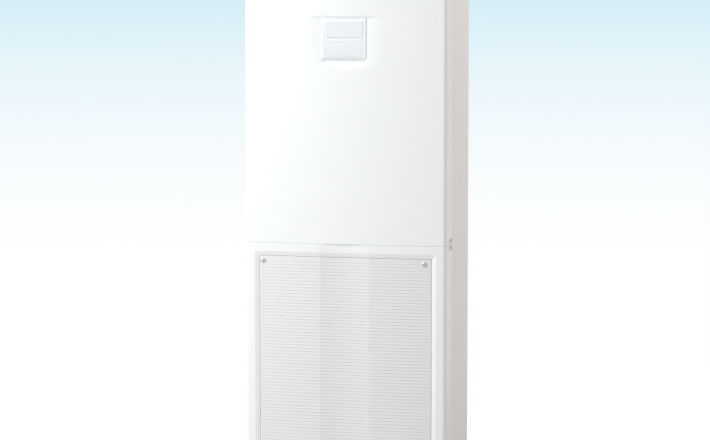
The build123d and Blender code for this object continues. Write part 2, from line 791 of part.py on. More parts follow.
# Two captive screws with large slotted heads hold the grille's top corners.
with BuildPart() as grille_screws:
    for x in grille_screw_x:
        z = grille_top - grille_screw_drop
        seat_y = front_y(abs(x) - grille_screw_head_r, grille_recess) - fit_gap / 2
        rod((x, seat_y, z), (0, -1, 0), grille_screw_head_r, grille_screw_head_h)
        rod((x, seat_y - over, z), (0, 1, 0), grille_screw_r, collar_back - fit_gap - seat_y + over)
        with Locations((x, seat_y - grille_screw_head_h, z)):
            Box(2 * (grille_screw_head_r + over), 2 * grille_screw_slot_d, grille_screw_slot_w, mode=Mode.SUBTRACT)
save(grille_screws, "grille_screws")

# ==== air filter ==================================================================================

rail_y0 = collar_back
groove_y0 = rail_y0 + rail_wall
groove_y1 = groove_y0 + filter_t + 2 * filter_play
rail_y1 = groove_y1 + rail_wall
filter_half = open_half + collar_t + rail_gap
rail_in = filter_half + filter_play
filter_y0 = groove_y0 + filter_play
filter_mid_z = (filter_bottom + filter_top) / 2
with BuildPart() as filter_rails:
    for side in (-1, 1):
        inner = side * (rail_in - rail_lip)
        outer = side * (rail_in + rail_wall)
        z1 = filter_top + filter_lift + rail_spare
        block(sorted((inner, outer)), (rail_y0, rail_y1), (filter_bottom - rail_wall, z1))
        block(
            sorted((inner - side * over, side * rail_in)),
            (groove_y0, groove_y1),
            (filter_bottom, z1 + over),
            mode=Mode.SUBTRACT,
        )
save(filter_rails, "filter_rails")

cell_w = (2 * filter_half - 3 * filter_border) / 2
cell_h = (filter_top - filter_bottom - 4 * filter_border) / 3


def filter_cells(thick, mode=Mode.ADD):
    """Boxes in the six cells of the filter frame."""
    with Locations(Plane(origin=(0, filter_y0 + filter_t / 2, filter_mid_z), x_dir=(1, 0, 0), z_dir=(0, -1, 0))):
        with GridLocations(cell_w + filter_border, cell_h + filter_border, 2, 3):
            Box(cell_w, cell_h, thick, mode=mode)


with BuildPart() as filter_frame:
    block((-filter_half, filter_half), (filter_y0, filter_y0 + filter_t), (filter_bottom, filter_top))
    filter_cells(filter_t + 2 * over, mode=Mode.SUBTRACT)
save(filter_frame, "filter_frame")

# The filter's net, a thin sheet in each cell of the frame.
with BuildPart() as filter_mesh:
    filter_cells(mesh_t)
save(filter_mesh, "filter_mesh")

# ==== air outlet ==================================================================================

# Outlet frame: the top of the moulded front, with the mouth and the duct collar behind it.
outlet_z0 = seam_high + seam_gap / 2
collar_end = duct_plate_y - sheet_t
vane_x = [(i - (vane_count - 1) / 2) * vane_pitch for i in range(vane_count)]
blade_pitch = (mouth_top - mouth_bottom) / blade_count
blade_z = [mouth_bottom + (i + 0.5) * blade_pitch for i in range(blade_count)]
lead_blade = blade_count // 2
mouth_z = (mouth_bottom, mouth_top)
mouth_bevel = bevel_cutter(mouth_half, mouth_z, outlet_bevel_w, outlet_bevel_d)
with BuildPart() as outlet_frame:
    front_layer(outlet_z0, height, plain_outer, plain_inner)
    front_layer(outlet_z0, outlet_z0 + skin_t, plain_outer, plain_rim)
    with BuildSketch(Plane.XY.offset(height - skin_t)):
        add(plain_outer)
    extrude(amount=skin_t)
    framed_opening(mouth_half, mouth_z, outlet_bevel_w, plain_outer, plain_frame)
    with BuildSketch(Plane.XY.offset(mouth_bottom - collar_t)):
        with Locations((0, (y_front + y_seam) / 2)):
            Rectangle(2 * (mouth_half + collar_t), y_seam - y_front)
        add(plain_outer, mode=Mode.INTERSECT)
        with Locations((0, (y_seam - over + collar_end) / 2)):
            Rectangle(2 * (mouth_half + collar_t), collar_end - y_seam + over)
    extrude(amount=mouth_top - mouth_bottom + 2 * collar_t)
    block((-mouth_half, mouth_half), (y_front - over, collar_end + over), mouth_z, mode=Mode.SUBTRACT)
    add(mouth_bevel, mode=Mode.SUBTRACT)
    for i, z in enumerate(blade_z):
        hole((-mouth_half + over, blade_y, z), (-1, 0, 0), blade_pin_r + running_gap)
        hole((mouth_half - over, blade_y, z), (1, 0, 0), blade_pin_r + running_gap)
    for x in vane_x:
        hole((x, vane_y, mouth_bottom + over), (0, 0, -1), vane_pin_r + running_gap)
        hole((x, vane_y, mouth_top - over), (0, 0, 1), vane_pin_r + running_gap)
save(outlet_frame, "outlet_frame")

# Louvre blades: each turns about pins in its ends, and carries a crank pin at the right for the link bar.
link_x0 = blade_right + arm_t + link_side_gap
for i, z in enumerate(blade_z):
    right_pin_end = mouth_half + collar_t + (swing_shaft_len if i == lead_blade else 0)
    with BuildPart() as blade:
        with BuildSketch(Plane.YZ.offset(blade_left)):
            with Locations(Location((blade_y, z), (0, 0, blade_rest_tilt))):
                SlotOverall(blade_chord, blade_t)
                Circle(blade_pin_r)
        extrude(amount=blade_right - blade_left)
        rod((blade_left, blade_y, z), (-1, 0, 0), blade_pin_r, mouth_half + collar_t + blade_left)
        rod((blade_right, blade_y, z), (1, 0, 0), blade_pin_r, right_pin_end - blade_right)
        with BuildSketch(Plane.YZ.offset(blade_right)):
            with Locations((blade_y + arm_r / 2, z)):
                SlotCenterToCenter(arm_r, arm_h)
        extrude(amount=arm_t)
        rod((blade_right, blade_y + arm_r, z), (1, 0, 0), link_pin_r, arm_t + link_side_gap + link_t + pin_proud)
    save(blade, f"louvre_blade_{i + 1}")

with BuildPart() as louvre_link:
    with BuildSketch(Plane.YZ.offset(link_x0)):
        with Locations((blade_y + arm_r, (blade_z[0] + blade_z[-1]) / 2)):
            Rectangle(link_w, blade_z[-1] - blade_z[0] + link_w)
        for z in blade_z:
            with Locations((blade_y + arm_r - link_swing / 2, z)):
                SlotCenterToCenter(link_swing, 2 * link_slot_r, mode=Mode.SUBTRACT)
    extrude(amount=link_t)
save(louvre_link, "louvre_link")

with BuildPart() as swing_motor:
    rod((mouth_half + collar_t, blade_y, blade_z[lead_blade]), (1, 0, 0), swing_motor_r, swing_motor_len)
    block(
        (mouth_half + collar_t, mouth_half + collar_t + motor_ear_t),
        (blade_y - swing_motor_r, blade_y + swing_motor_r),
        (blade_z[lead_blade] - swing_motor_r - motor_ear_w, blade_z[lead_blade] + swing_motor_r + motor_ear_w),
    )
    hole(
        (mouth_half, blade_y, blade_z[lead_blade]),
        (1, 0, 0),
        blade_pin_r + running_gap,
        collar_t + swing_shaft_len + over,
    )
save(swing_motor, "swing_motor")

# Vertical vanes behind the blades, joined at their feet by a tie bar.
vane_z0 = mouth_bottom + vane_foot_gap
vane_z1 = mouth_top - vane_head_gap
vane_pin_y = vane_y + arm_r
for i, x in enumerate(vane_x):
    with BuildPart() as vane:
        with BuildSketch(Plane.XY.offset(vane_z0)):
            with Locations((x, vane_y)):
                SlotOverall(vane_chord, vane_t, rotation=90)
                Circle(vane_pin_r)
            with Locations((x, vane_pin_y)):
                Circle(link_pin_r)
        extrude(amount=vane_z1 - vane_z0)
        rod((x, vane_y, vane_z0), (0, 0, -1), vane_pin_r, vane_foot_gap + collar_t)
        rod((x, vane_y, vane_z1), (0, 0, 1), vane_pin_r, vane_head_gap + collar_t)
        rod((x, vane_pin_y, vane_z0), (0, 0, -1), link_pin_r, vane_foot_gap - vane_link_z + pin_proud)
    save(vane, f"vane_{i + 1}")

with BuildPart() as vane_link:
    with BuildSketch(Plane.XY.offset(mouth_bottom + vane_link_z)):
        with Locations((0, vane_pin_y)):
            Rectangle(vane_x[-1] - vane_x[0] + 2 * link_w, link_w)
        for x in vane_x:
            with Locations((x, vane_pin_y - link_swing / 2)):
                SlotCenterToCenter(link_swing, 2 * link_slot_r, rotation=90, mode=Mode.SUBTRACT)
    extrude(amount=link_t)
save(vane_link, "vane_link")

# Foam air guide: turns the rising air forward into the mouth.
guide_top = height - sheet_t - fit_gap
with BuildPart() as air_guide:
    with BuildSketch(Plane.YZ.offset(-guide_half)):
        with BuildLine():
            Polyline(
                (y_rear_in - guide_foot_t, guide_foot_z),
                (y_rear_in, guide_foot_z),
                (y_rear_in, post_top - fit_gap),
                (y_rear_in - sheet_t - 2 * fit_gap, post_top - fit_gap),
                (y_rear_in - sheet_t - 2 * fit_gap, guide_top),
                (collar_end + guide_gap, guide_top),
                (collar_end + guide_gap, mouth_top),
            )
            RadiusArc((collar_end + guide_gap, mouth_top), (y_rear_in - guide_foot_t, guide_foot_z), guide_r)
        make_face()
    extrude(amount=2 * guide_half)
save(air_guide, "air_guide")

# Duct front plate: parts the heat exchanger's space from the space behind the upper panel.
with BuildPart() as duct_plate:
    block(
        (-x_in + post_t + fit_gap, x_in - post_t - fit_gap),
        (duct_plate_y - sheet_t, duct_plate_y),
        (deck_z, mouth_bottom),
    )
save(duct_plate, "duct_plate")

# ==== fans ========================================================================================

with BuildPart() as fan_deck:
    block(
        (-x_in + fit_gap, x_in - fit_gap),
        (y_flange_in + post_w + fit_gap, deck_rear_y),
        (deck_z, deck_z + sheet_t),
    )
    for side in (-1, 1):
        block(
            sorted((side * (fan_x0 + deck_lip), side * (fan_x1 - deck_lip))),
            (tongue_y + deck_lip, fan_y + volute_rear - deck_lip),
            (deck_z - over, deck_z + sheet_t + over),
            mode=Mode.SUBTRACT,
        )
    block(
        (pipe_x - gas_r - pipe_clear, pipe_x + gas_r + pipe_clear),
        (gas_y - gas_r - pipe_clear, liquid_y + liquid_r + pipe_clear),
        (deck_z - over, deck_z + sheet_t + over),
        mode=Mode.SUBTRACT,
    )
save(fan_deck, "fan_deck")


def volute(grow):
    """The scroll's side view, `grow` outside its inner wall, closed at the deck."""
    foot = (fan_y, fan_z - volute_foot - grow)
    front = (fan_y - volute_front - grow, fan_z)
    rear = (fan_y + volute_rear + grow, fan_z)
    tongue = (tongue_y - grow, fan_z + volute_tongue + grow)
    lean = sin(radians(45))
    mid_r = (volute_foot + volute_rear) / 2 + grow
    with BuildSketch(Plane.XY, mode=Mode.PRIVATE) as scroll:
        with BuildLine():
            ThreePointArc(tongue, front, foot)
            ThreePointArc(foot, (fan_y + mid_r * lean, fan_z - mid_r * lean), rear)
            Polyline(rear, (rear[0], deck_z), (tongue[0], deck_z), tongue)
        make_face()
    return scroll.sketch


# Scroll housings: sheet-metal volutes with a bell mouth on each side, hung from the fan deck.
for side, name in ((-1, "fan_housing_left"), (1, "fan_housing_right")):
    with BuildPart() as housing:
        with BuildSketch(Plane.YZ.offset(side * fan_x0)):
            add(volute(volute_wall))
        extrude(amount=side * (fan_x1 - fan_x0))
        with BuildSketch(Plane.YZ.offset(side * (fan_x0 + volute_wall))):
            add(volute(0))
        extrude(amount=side * (fan_x1 - fan_x0 - 2 * volute_wall), mode=Mode.SUBTRACT)
        block(
            sorted((side * (fan_x0 - housing_flange), side * (fan_x1 + housing_flange))),
            (tongue_y - volute_wall - housing_flange, fan_y + volute_rear + volute_wall + housing_flange),
            (deck_z - volute_wall, deck_z),
        )
        block(
            sorted((side * (fan_x0 + volute_wall), side * (fan_x1 - volute_wall))),
            (tongue_y, fan_y + volute_rear),
            (deck_z - volute_wall - over, deck_z + over),
            mode=Mode.SUBTRACT,
        )
        for x, way in ((fan_x0, -1), (fan_x1, 1)):
            rod((side * x, fan_y, fan_z), (side * way, 0, 0), inlet_r + bell_w, bell_len)
            hole(
                (side * (x + way * (bell_len + over)), fan_y, fan_z),
                (-side * way, 0, 0),
                inlet_r,
                bell_len + volute_wall + 2 * over,
            )
    save(housing, name)

# Impellers: drum wheels open at both sides, on a middle disc and a hub.
wheel_x0 = fan_x0 + volute_wall + impeller_clear
wheel_x1 = fan_x1 - volute_wall - impeller_clear
wheel_mid = (wheel_x0 + wheel_x1) / 2
vane_mid_r = (impeller_in_r + impeller_r) / 2
vane_len = (impeller_r - impeller_in_r) * 0.98
for side, name in ((-1, "impeller_left"), (1, "impeller_right")):
    with BuildPart() as impeller:
        start = side * wheel_x0
        with BuildSketch(Plane.YZ.offset(start)):
            with Locations((fan_y, fan_z)):
                with PolarLocations(vane_mid_r, impeller_blades):
                    Rectangle(vane_len, impeller_blade_t, rotation=impeller_blade_tilt)
        extrude(amount=side * (wheel_x1 - wheel_x0))
        for x in (wheel_x0, wheel_x1 - impeller_ring_t):
            with BuildSketch(Plane.YZ.offset(side * x)):
                with Locations((fan_y, fan_z)):
                    Circle(impeller_r)
                    Circle(impeller_in_r, mode=Mode.SUBTRACT)
            extrude(amount=side * impeller_ring_t)
        rod((side * (wheel_mid - impeller_disc_t / 2), fan_y, fan_z), (side, 0, 0), impeller_r, impeller_disc_t)
        rod((side * (wheel_mid - hub_len / 2), fan_y, fan_z), (side, 0, 0), hub_r, hub_len)
        hole((side * wheel_x0, fan_y, fan_z), (side, 0, 0), shaft_r + hub_fit, wheel_x1 - wheel_x0)
    save(impeller, name)

shaft_end = wheel_mid + hub_len / 2 + shaft_spare
with BuildPart() as fan_shaft:
    rod((-shaft_end, fan_y, fan_z), (1, 0, 0), shaft_r, 2 * shaft_end)
save(fan_shaft, "fan_shaft")

with BuildPart() as fan_motor:
    rod((-motor_len / 2, fan_y, fan_z), (1, 0, 0), motor_r, motor_len)
    fillet(fan_motor.edges().filter_by(GeomType.CIRCLE), motor_edge_r)
    rod(
        (-motor_len / 2 - motor_boss_len, fan_y, fan_z),
        (1, 0, 0),
        motor_boss_r,
        motor_len + 2 * motor_boss_len,
    )
    hole((-motor_len, fan_y, fan_z), (1, 0, 0), shaft_r + running_gap, 2 * motor_len)
save(fan_motor, "fan_motor")

# Motor bracket: two hangers from the fan deck, round the motor's end bosses, and the strip that joins them.
with BuildPart() as motor_bracket:
    hanger_x = motor_len / 2 + bracket_gap - bracket_t
    for side in (-1, 1):
        block(
            sorted((side * hanger_x, side * (hanger_x + bracket_t))),
            (fan_y - bracket_w / 2, fan_y + bracket_w / 2),
            (fan_z - motor_boss_r - bracket_drop, deck_z),
        )
        hole(
            (side * (hanger_x - over), fan_y, fan_z),
            (side, 0, 0),
            motor_boss_r + running_gap,
            bracket_t + 2 * over,
        )
    block(
        (-hanger_x, hanger_x),
        (fan_y - bracket_w / 2, fan_y + bracket_w / 2),
        (deck_z - bracket_t, deck_z),
    )
save(motor_bracket, "motor_bracket")

# ==== heat exchanger, pipes and drain =============================================================

pan_floor = deck_z + sheet_t + pan_t


def coil_section(thick, length, hole_r):
    """Draw the coil's sloping end view with its tube holes."""
    with Locations(Location((coil_y, coil_z), (0, 0, -coil_tilt))):
        Rectangle(thick, length)
        with GridLocations(row_pitch, tube_pitch, 2, tube_count):
            Circle(hole_r, mode=Mode.SUBTRACT)


with BuildPart() as coil_fins:
    with BuildSketch(Plane.YZ.offset(coil_x0)):
        coil_section(coil_t, coil_len, tube_r + tube_fit)
    extrude(amount=coil_x1 - coil_x0)
save(coil_fins, "coil_fins")

# End plates: they carry the coil on two feet in the drain pan.
foot_y = coil_y - lean_s * coil_len / 2
plate_foot_top = coil_z - coil_len / 2 * lean_c + plate_foot_lap
with BuildPart() as coil_end_plates:
    for x in (coil_x0 - plate_t, coil_x1):
        with BuildSketch(Plane.YZ.offset(x)):
            with Locations((foot_y, (pan_floor + plate_foot_top) / 2)):
                Rectangle(plate_foot_w, plate_foot_top - pan_floor)
            coil_section(coil_t + plate_edge, coil_len + plate_edge, tube_r + tube_fit)
        extrude(amount=plate_t)
save(coil_end_plates, "coil_end_plates")

# Tubes: one serpentine for each row, and the bend that joins their feet.
tube_x0 = coil_x0 - plate_t - tube_out
tube_x1 = coil_x1 + plate_t + tube_out
open_x = coil_x1 + tube_stub
bend_r = tube_pitch / 2
tube_foot = -(tube_count - 1) / 2 * tube_pitch


def coil_point(across, along):
    """Where a tube crosses the end view: `across` the slab and `along` its slope."""
    return (coil_y + across * lean_c + along * lean_s, coil_z - across * lean_s + along * lean_c)


with BuildPart() as coil_tubes:
    for row in (-0.5, 0.5):
        y, z = coil_point(row * row_pitch, 0)
        slope = Plane(origin=(0, y, z), x_dir=(1, 0, 0), z_dir=(0, -lean_c, lean_s))
        with BuildLine(slope) as path:
            for i in range(tube_count):
                u = tube_foot + i * tube_pitch
                near = open_x if i in (0, tube_count - 1) else tube_x1
                Line((near, u), (tube_x0, u))
                if i < tube_count - 1:
                    x, way = (tube_x0, -1) if i % 2 == 0 else (tube_x1, 1)
                    ThreePointArc((x, u), (x + way * bend_r, u + bend_r), (x, u + tube_pitch))
        start_y, start_z = coil_point(row * row_pitch, tube_foot)
        with BuildSketch(Plane(origin=(open_x, start_y, start_z), z_dir=(-1, 0, 0))):
            Circle(tube_r)
        sweep(path=path.wire())
    low_y, low_z = coil_point(0, tube_foot)
    with BuildLine(Plane(origin=(open_x, low_y, low_z), x_dir=(1, 0, 0), z_dir=(0, lean_s, lean_c))) as crossing:
        ThreePointArc((0, row_pitch / 2), (row_pitch / 2, 0), (0, -row_pitch / 2))
    with BuildSketch(Plane(origin=crossing.line @ 0, z_dir=(1, 0, 0))):
        Circle(tube_r)
    sweep(path=crossing.wire())
save(coil_tubes, "coil_tubes")

tube_head = -tube_foot


def cabinet_pipe(radius, row, y, out_z):
    """A copper pipe from the top of a coil row down the right side and out at the back."""
    top_y, top_z = coil_point(row * row_pitch, tube_head)
    with BuildLine(mode=Mode.PRIVATE) as route:
        FilletPolyline(
            (open_x, top_y, top_z),
            (pipe_x, top_y, top_z),
            (pipe_x, y, top_z - pipe_turn_drop),
            (pipe_x, y, out_z),
            (pipe_x, pipe_end_y, out_z),
            radius=pipe_bend_r,
        )
    with BuildSketch(Plane(origin=(open_x, top_y, top_z), z_dir=(1, 0, 0)), mode=Mode.PRIVATE) as section:
        Circle(radius)
    sweep(section.sketch, path=route.wire())


with BuildPart() as gas_pipe:
    cabinet_pipe(gas_r, -0.5, gas_y, gas_out_z)
save(gas_pipe, "gas_pipe")

with BuildPart() as liquid_pipe:
    cabinet_pipe(liquid_r, 0.5, liquid_y, liquid_out_z)
save(liquid_pipe, "liquid_pipe")

# Flare unions on the pipes' ends: a hexagon and the stub that takes the installer's nut.
with BuildPart() as flare_unions:
    for radius, stub_r, z in ((gas_r, gas_union_r, gas_out_z), (liquid_r, liquid_union_r, liquid_out_z)):
        with BuildSketch(Plane.XZ.offset(-(pipe_end_y - union_len - union_hex_len))):
            with Locations((pipe_x, z)):
                RegularPolygon(radius + union_hex_wall, 6)
        extrude(amount=-union_hex_len)
        rod((pipe_x, pipe_end_y - union_len, z), (0, 1, 0), stub_r, union_len)
        hole((pipe_x, pipe_end_y, z), (0, -1, 0), radius + union_fit, union_len + union_hex_len)
save(flare_unions, "flare_unions")

# Drain pan under the coil's foot, with its socket leading out at the back.
with BuildPart() as drain_pan:
    block((pan_x0, pan_x1), (pan_y0, pan_y1), (deck_z + sheet_t, deck_z + sheet_t + pan_h))
    block(
        (pan_x0 + pan_t, pan_x1 - pan_t),
        (pan_y0 + pan_t, pan_y1 - pan_t),
        (pan_floor, deck_z + sheet_t + pan_h + over),
        mode=Mode.SUBTRACT,
    )
    hole((drain_x, pan_y1 + over, drain_z), (0, -1, 0), drain_bore_r, pan_t + 2 * over)
save(drain_pan, "drain_pan")

with BuildPart() as drain_socket:
    rod((drain_x, pan_y1, drain_z), (0, 1, 0), drain_r, y_rear - pan_y1)
    hole((drain_x, pan_y1 - over, drain_z), (0, 1, 0), drain_bore_r, y_rear - pan_y1 + 2 * over)
save(drain_socket, "drain_socket")

# ==== electrical box ==============================================================================

box_back = duct_plate_y - sheet_t
box_front = box_back - box_d
box_z = (box_z0, box_z0 + box_h)
with BuildPart() as control_box:
    block((-box_half, box_half), (box_front, box_back), box_z)
    block(
        (-box_half + sheet_t, box_half - sheet_t),
        (box_front - over, box_back - sheet_t),
        (box_z[0] + sheet_t, box_z[1] - sheet_t),
        mode=Mode.SUBTRACT,
    )
save(control_box, "control_box")

with BuildPart() as control_box_cover:
    block((-box_half, box_half), (box_front - sheet_t, box_front), box_z)
save(control_box_cover, "control_box_cover")

board_z = box_z0 + box_h - board_drop - board_h / 2
with BuildPart() as circuit_board:
    wall = box_back - sheet_t
    block(
        (board_x - board_w / 2, board_x + board_w / 2),
        (wall - standoff - board_t, wall - standoff),
        (board_z - board_h / 2, board_z + board_h / 2),
    )
    for dx in (-1, 1):
        for dz in (-1, 1):
            x = board_x + dx * (board_w / 2 - board_inset)
            z = board_z + dz * (board_h / 2 - board_inset)
            rod((x, wall - standoff, z), (0, 1, 0), standoff_r, standoff)
    front = wall - standoff - board_t
    for x, z, w, h, d in (
        (-70, 45, 40, 30, 25),
        (-20, 50, 30, 30, 18),
        (60, 40, 50, 40, 12),
        (-60, -30, 60, 24, 8),
        (30, -30, 24, 24, 20),
        (80, -50, 30, 18, 10),
    ):
        block(
            (board_x + x - w / 2, board_x + x + w / 2),
            (front - d, front),
            (board_z + z - h / 2, board_z + z + h / 2),
        )
save(circuit_board, "circuit_board")

with BuildPart() as terminal_block:
    x0 = -terminal_w / 2
    z0 = box_z0 + terminal_rise
    back = box_back - sheet_t
    block((x0, x0 + terminal_w), (back - terminal_d, back), (z0, z0 + terminal_h))
    way = terminal_w / terminal_ways
    for i in range(terminal_ways):
        mid = x0 + (i + 0.5) * way
        block(
            (mid - way * 0.35, mid + way * 0.35),
            (back - terminal_d - over, back - terminal_d + terminal_pocket_d),
            (z0 + terminal_pocket[0], z0 + terminal_pocket[1]),
            mode=Mode.SUBTRACT,
        )
        screw = (mid, back - terminal_d, z0 + terminal_screw_z)
        hole(screw, (0, 1, 0), way * 0.3, terminal_screw_d)
save(terminal_block, "terminal_block")

# ==== controller ==================================================================================

face_half = controller_w / 2 - bezel_border
bezel_y = y_front + face_step
flap_z0 = controller_foot + face_foot
flap_z1 = flap_z0 + flap_h
window_z0 = flap_z1 + flap_gap
window_z1 = window_z0 + window_h
flap_axis_y = y_front + flap_t / 2
flap_axis_z = flap_z0 + flap_t / 2
button_z = flap_axis_z + button_rise
button_cols = (-button_pitch, 0.0, button_pitch)
with BuildPart() as controller_housing:
    block((-controller_w / 2, controller_w / 2), (bezel_y, recess_floor_y), (controller_foot, controller_top))
    fillet(controller_housing.edges().filter_by(Axis.Y), bezel_corner_r)
    front_edges = controller_housing.faces().sort_by(Axis.Y)[0].edges()
    chamfer(front_edges, bezel_chamfer)
    slope_run = foot_slope_d * over / foot_slope_h
    with BuildSketch(Plane.YZ.offset(-controller_w / 2 - over)):
        with BuildLine():
            Polyline(
                (bezel_y, controller_foot + foot_slope_h),
                (bezel_y - over, controller_foot + foot_slope_h),
                (bezel_y - over, controller_foot - over),
                (bezel_y + foot_slope_d + slope_run, controller_foot - over),
                close=True,
            )
        make_face()
    extrude(amount=controller_w + 2 * over, mode=Mode.SUBTRACT)
    block((-face_half, face_half), (y_front, bezel_y + 2 * over), (flap_z0, window_z1 + face_margin))
    block(
        (-face_half + face_margin, face_half - face_margin),
        (y_front - over, y_front + window_t),
        (window_z0, window_z1),
        mode=Mode.SUBTRACT,
    )
    block(
        (-face_half - over, face_half + over),
        (y_front - over, y_front + flap_t + flap_gap),
        (flap_z0 - flap_gap, flap_z1),
        mode=Mode.SUBTRACT,
    )
    hole(
        (-face_half - over, flap_axis_y, flap_axis_z),
        (1, 0, 0),
        flap_t / 2 + flap_gap,
        2 * (face_half + over),
    )
    for side in (-1, 1):
        hole((side * face_half, flap_axis_y, flap_axis_z), (side, 0, 0), flap_pin_r + running_gap, flap_pin_len + over)
    for x in button_cols:
        block(
            (x - button_w / 2 - button_gap, x + button_w / 2 + button_gap),
            (y_front, y_front + flap_t + button_gap + button_t + 1.5 * button_travel),
            (button_z - button_h / 2 - button_gap, button_z + button_h / 2 + button_gap),
            mode=Mode.SUBTRACT,
        )
save(controller_housing, "controller_housing")

with BuildPart() as controller_window:
    block(
        (-face_half + face_margin, face_half - face_margin),
        (y_front, y_front + window_t),
        (window_z0, window_z1),
    )
save(controller_window, "controller_window")

# Flip cover: a flap with a round foot on two moulded pins, and the raised lip along its top edge.
with BuildPart() as controller_cover:
    with BuildSketch(Plane.YZ.offset(-face_half + fit_gap)):
        with Locations((flap_axis_y, (flap_axis_z + flap_z1 - flap_gap) / 2)):
            Rectangle(flap_t, flap_z1 - flap_gap - flap_axis_z)
        with Locations((flap_axis_y, flap_axis_z)):
            Circle(flap_t / 2)
    extrude(amount=2 * (face_half - fit_gap))
    for side in (-1, 1):
        rod((side * (face_half - fit_gap), flap_axis_y, flap_axis_z), (side, 0, 0), flap_pin_r, flap_pin_len)
save(controller_cover, "controller_cover")

for x, name in zip(button_cols, ("button_down", "button_power", "button_up")):
    with BuildPart() as button:
        top = y_front + flap_t + button_gap
        block(
            (x - button_w / 2, x + button_w / 2),
            (top, top + button_t),
            (button_z - button_h / 2, button_z + button_h / 2),
        )
    save(button, name)
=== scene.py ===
# %% [markdown]
# # A floor standing air conditioner
# The real object is a tall steel cabinet with a moulded white front in three pieces, a slatted suction grille at
# the foot and an outlet with louvre blades at the top. The CAD model gives every piece its place and its size.
# This script gives them their surfaces: soft moulded shapes where a CAD face is too hard, and a finish for each
# material. It could all be one mesh, but separate pieces can move: the grille hinges, the blades swing.

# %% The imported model
import contextlib
import json
import math

import bmesh
import bpy
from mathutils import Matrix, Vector


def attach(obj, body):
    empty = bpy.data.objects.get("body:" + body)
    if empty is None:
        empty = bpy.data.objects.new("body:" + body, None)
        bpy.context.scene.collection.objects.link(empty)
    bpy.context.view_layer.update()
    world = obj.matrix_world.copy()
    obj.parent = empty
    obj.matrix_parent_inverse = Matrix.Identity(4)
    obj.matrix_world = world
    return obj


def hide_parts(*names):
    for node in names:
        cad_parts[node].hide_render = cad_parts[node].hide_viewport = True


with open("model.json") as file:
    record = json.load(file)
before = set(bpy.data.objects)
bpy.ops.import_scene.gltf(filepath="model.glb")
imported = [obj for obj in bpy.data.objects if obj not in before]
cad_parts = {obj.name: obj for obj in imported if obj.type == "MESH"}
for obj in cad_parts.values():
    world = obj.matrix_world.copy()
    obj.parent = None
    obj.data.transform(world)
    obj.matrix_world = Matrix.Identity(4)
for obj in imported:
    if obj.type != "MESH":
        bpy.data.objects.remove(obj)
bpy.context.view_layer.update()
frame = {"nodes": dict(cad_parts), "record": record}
nodes = frame["nodes"]

# %% [markdown]
# ## Helpers for shapes
# A mould maker thinks in millimetres, and Blender in metres, so points are written in millimetres and scaled once,
# where a mesh is made. Two faces that meet at more than 30 degrees keep a sharp edge, and the rest is shaded smooth.

# %% Meshes from points
MM = 0.001
CREASE = math.radians(30)
HARD_EDGE = math.radians(35)
WELD = 1e-5
FLAT = math.radians(0.5)


def link(name, mesh):
    piece = bpy.data.objects.new(name, mesh)
    bpy.context.collection.objects.link(piece)
    return piece


def shade(piece):
    """Smooth shading, with a sharp edge wherever two faces meet at more than the crease angle."""
    piece.data.polygons.foreach_set("use_smooth", [True] * len(piece.data.polygons))
    piece.data.set_sharp_from_angle(angle=CREASE)
    return piece


def piece_from(name, points, faces):
    """A mesh object from points in millimetres."""
    mesh = bpy.data.meshes.new(name)
    mesh.from_pydata([(x * MM, y * MM, z * MM) for x, y, z in points], [], faces)
    mesh.validate()
    return shade(link(name, mesh))


@contextlib.contextmanager
def editing(mesh):
    """The mesh as a bmesh, written back at the end of the block."""
    shape = bmesh.new()
    shape.from_mesh(mesh)
    yield shape
    shape.to_mesh(mesh)
    shape.free()


def outward(piece):
    """Turn every face outward."""
    with editing(piece.data) as shape:
        bmesh.ops.recalc_face_normals(shape, faces=shape.faces)
    return shade(piece)


def thicken(piece, thickness):
    """Give a skin its wall, behind its outer face, with a sharp edge all along its border."""
    with editing(piece.data) as skin:
        for edge in skin.edges:
            if edge.is_boundary:
                edge.smooth = False
    wall = piece.modifiers.new("wall", "SOLIDIFY")
    wall.thickness = thickness * MM
    wall.offset = -1
    wall.use_even_offset = False
    return piece


def round_edges(piece, width, segments=2):
    """A small round on every hard edge, as a mould or a press brake leaves it."""
    bevel = piece.modifiers.new("edges", "BEVEL")
    bevel.width = width * MM
    bevel.segments = segments
    bevel.limit_method = "ANGLE"
    bevel.angle_limit = HARD_EDGE
    bevel.miter_outer = "MITER_ARC"
    bevel.harden_normals = True
    return piece


def cad_copy(source, name):
    """A welded copy of a CAD node's mesh, free to be given rounded edges."""
    mesh = nodes[source].data.copy()
    mesh.name = name
    with editing(mesh) as soup:
        bmesh.ops.remove_doubles(soup, verts=soup.verts, dist=WELD)
        bmesh.ops.dissolve_limit(soup, angle_limit=FLAT, verts=soup.verts, edges=soup.edges)
    return shade(link(name, mesh))


def join(name, *pieces):
    """Several pieces as one object, modifiers applied."""
    joined = bmesh.new()
    shapes = bpy.context.evaluated_depsgraph_get()
    for piece in pieces:
        part = bpy.data.meshes.new_from_object(piece.evaluated_get(shapes))
        joined.from_mesh(part)
    mesh = bpy.data.meshes.new(name)
    joined.to_mesh(mesh)
    joined.free()
    for piece in pieces:
        bpy.data.objects.remove(piece)
    return shade(link(name, mesh))


def wear(piece, material):
    """Put a finish on a piece, in place of any that it had."""
    piece.data.materials.clear()
    piece.data.materials.append(material)
    return piece


# %% [markdown]
# ## Rings, grids and boxes
# Nearly every shape here is one of two: a grid of points, for a panel, or a loft, a skin through a row of rings,
# for a slat, a pin or a blade. Primitives with modifiers could do for some, but a section that is written down can
# be set against the real one. Each helper gives points and faces, so that many parts can be gathered in one mesh.


# %% Lofts and grids
def arc(radius, start, end, steps):
    """Points of an arc from start to end, in degrees."""
    turns = [math.radians(start + (end - start) * k / steps) for k in range(steps + 1)]
    return [(radius * math.cos(turn), radius * math.sin(turn)) for turn in turns]


def circle(radius, steps):
    return arc(radius, 0, 360, steps)[:-1]


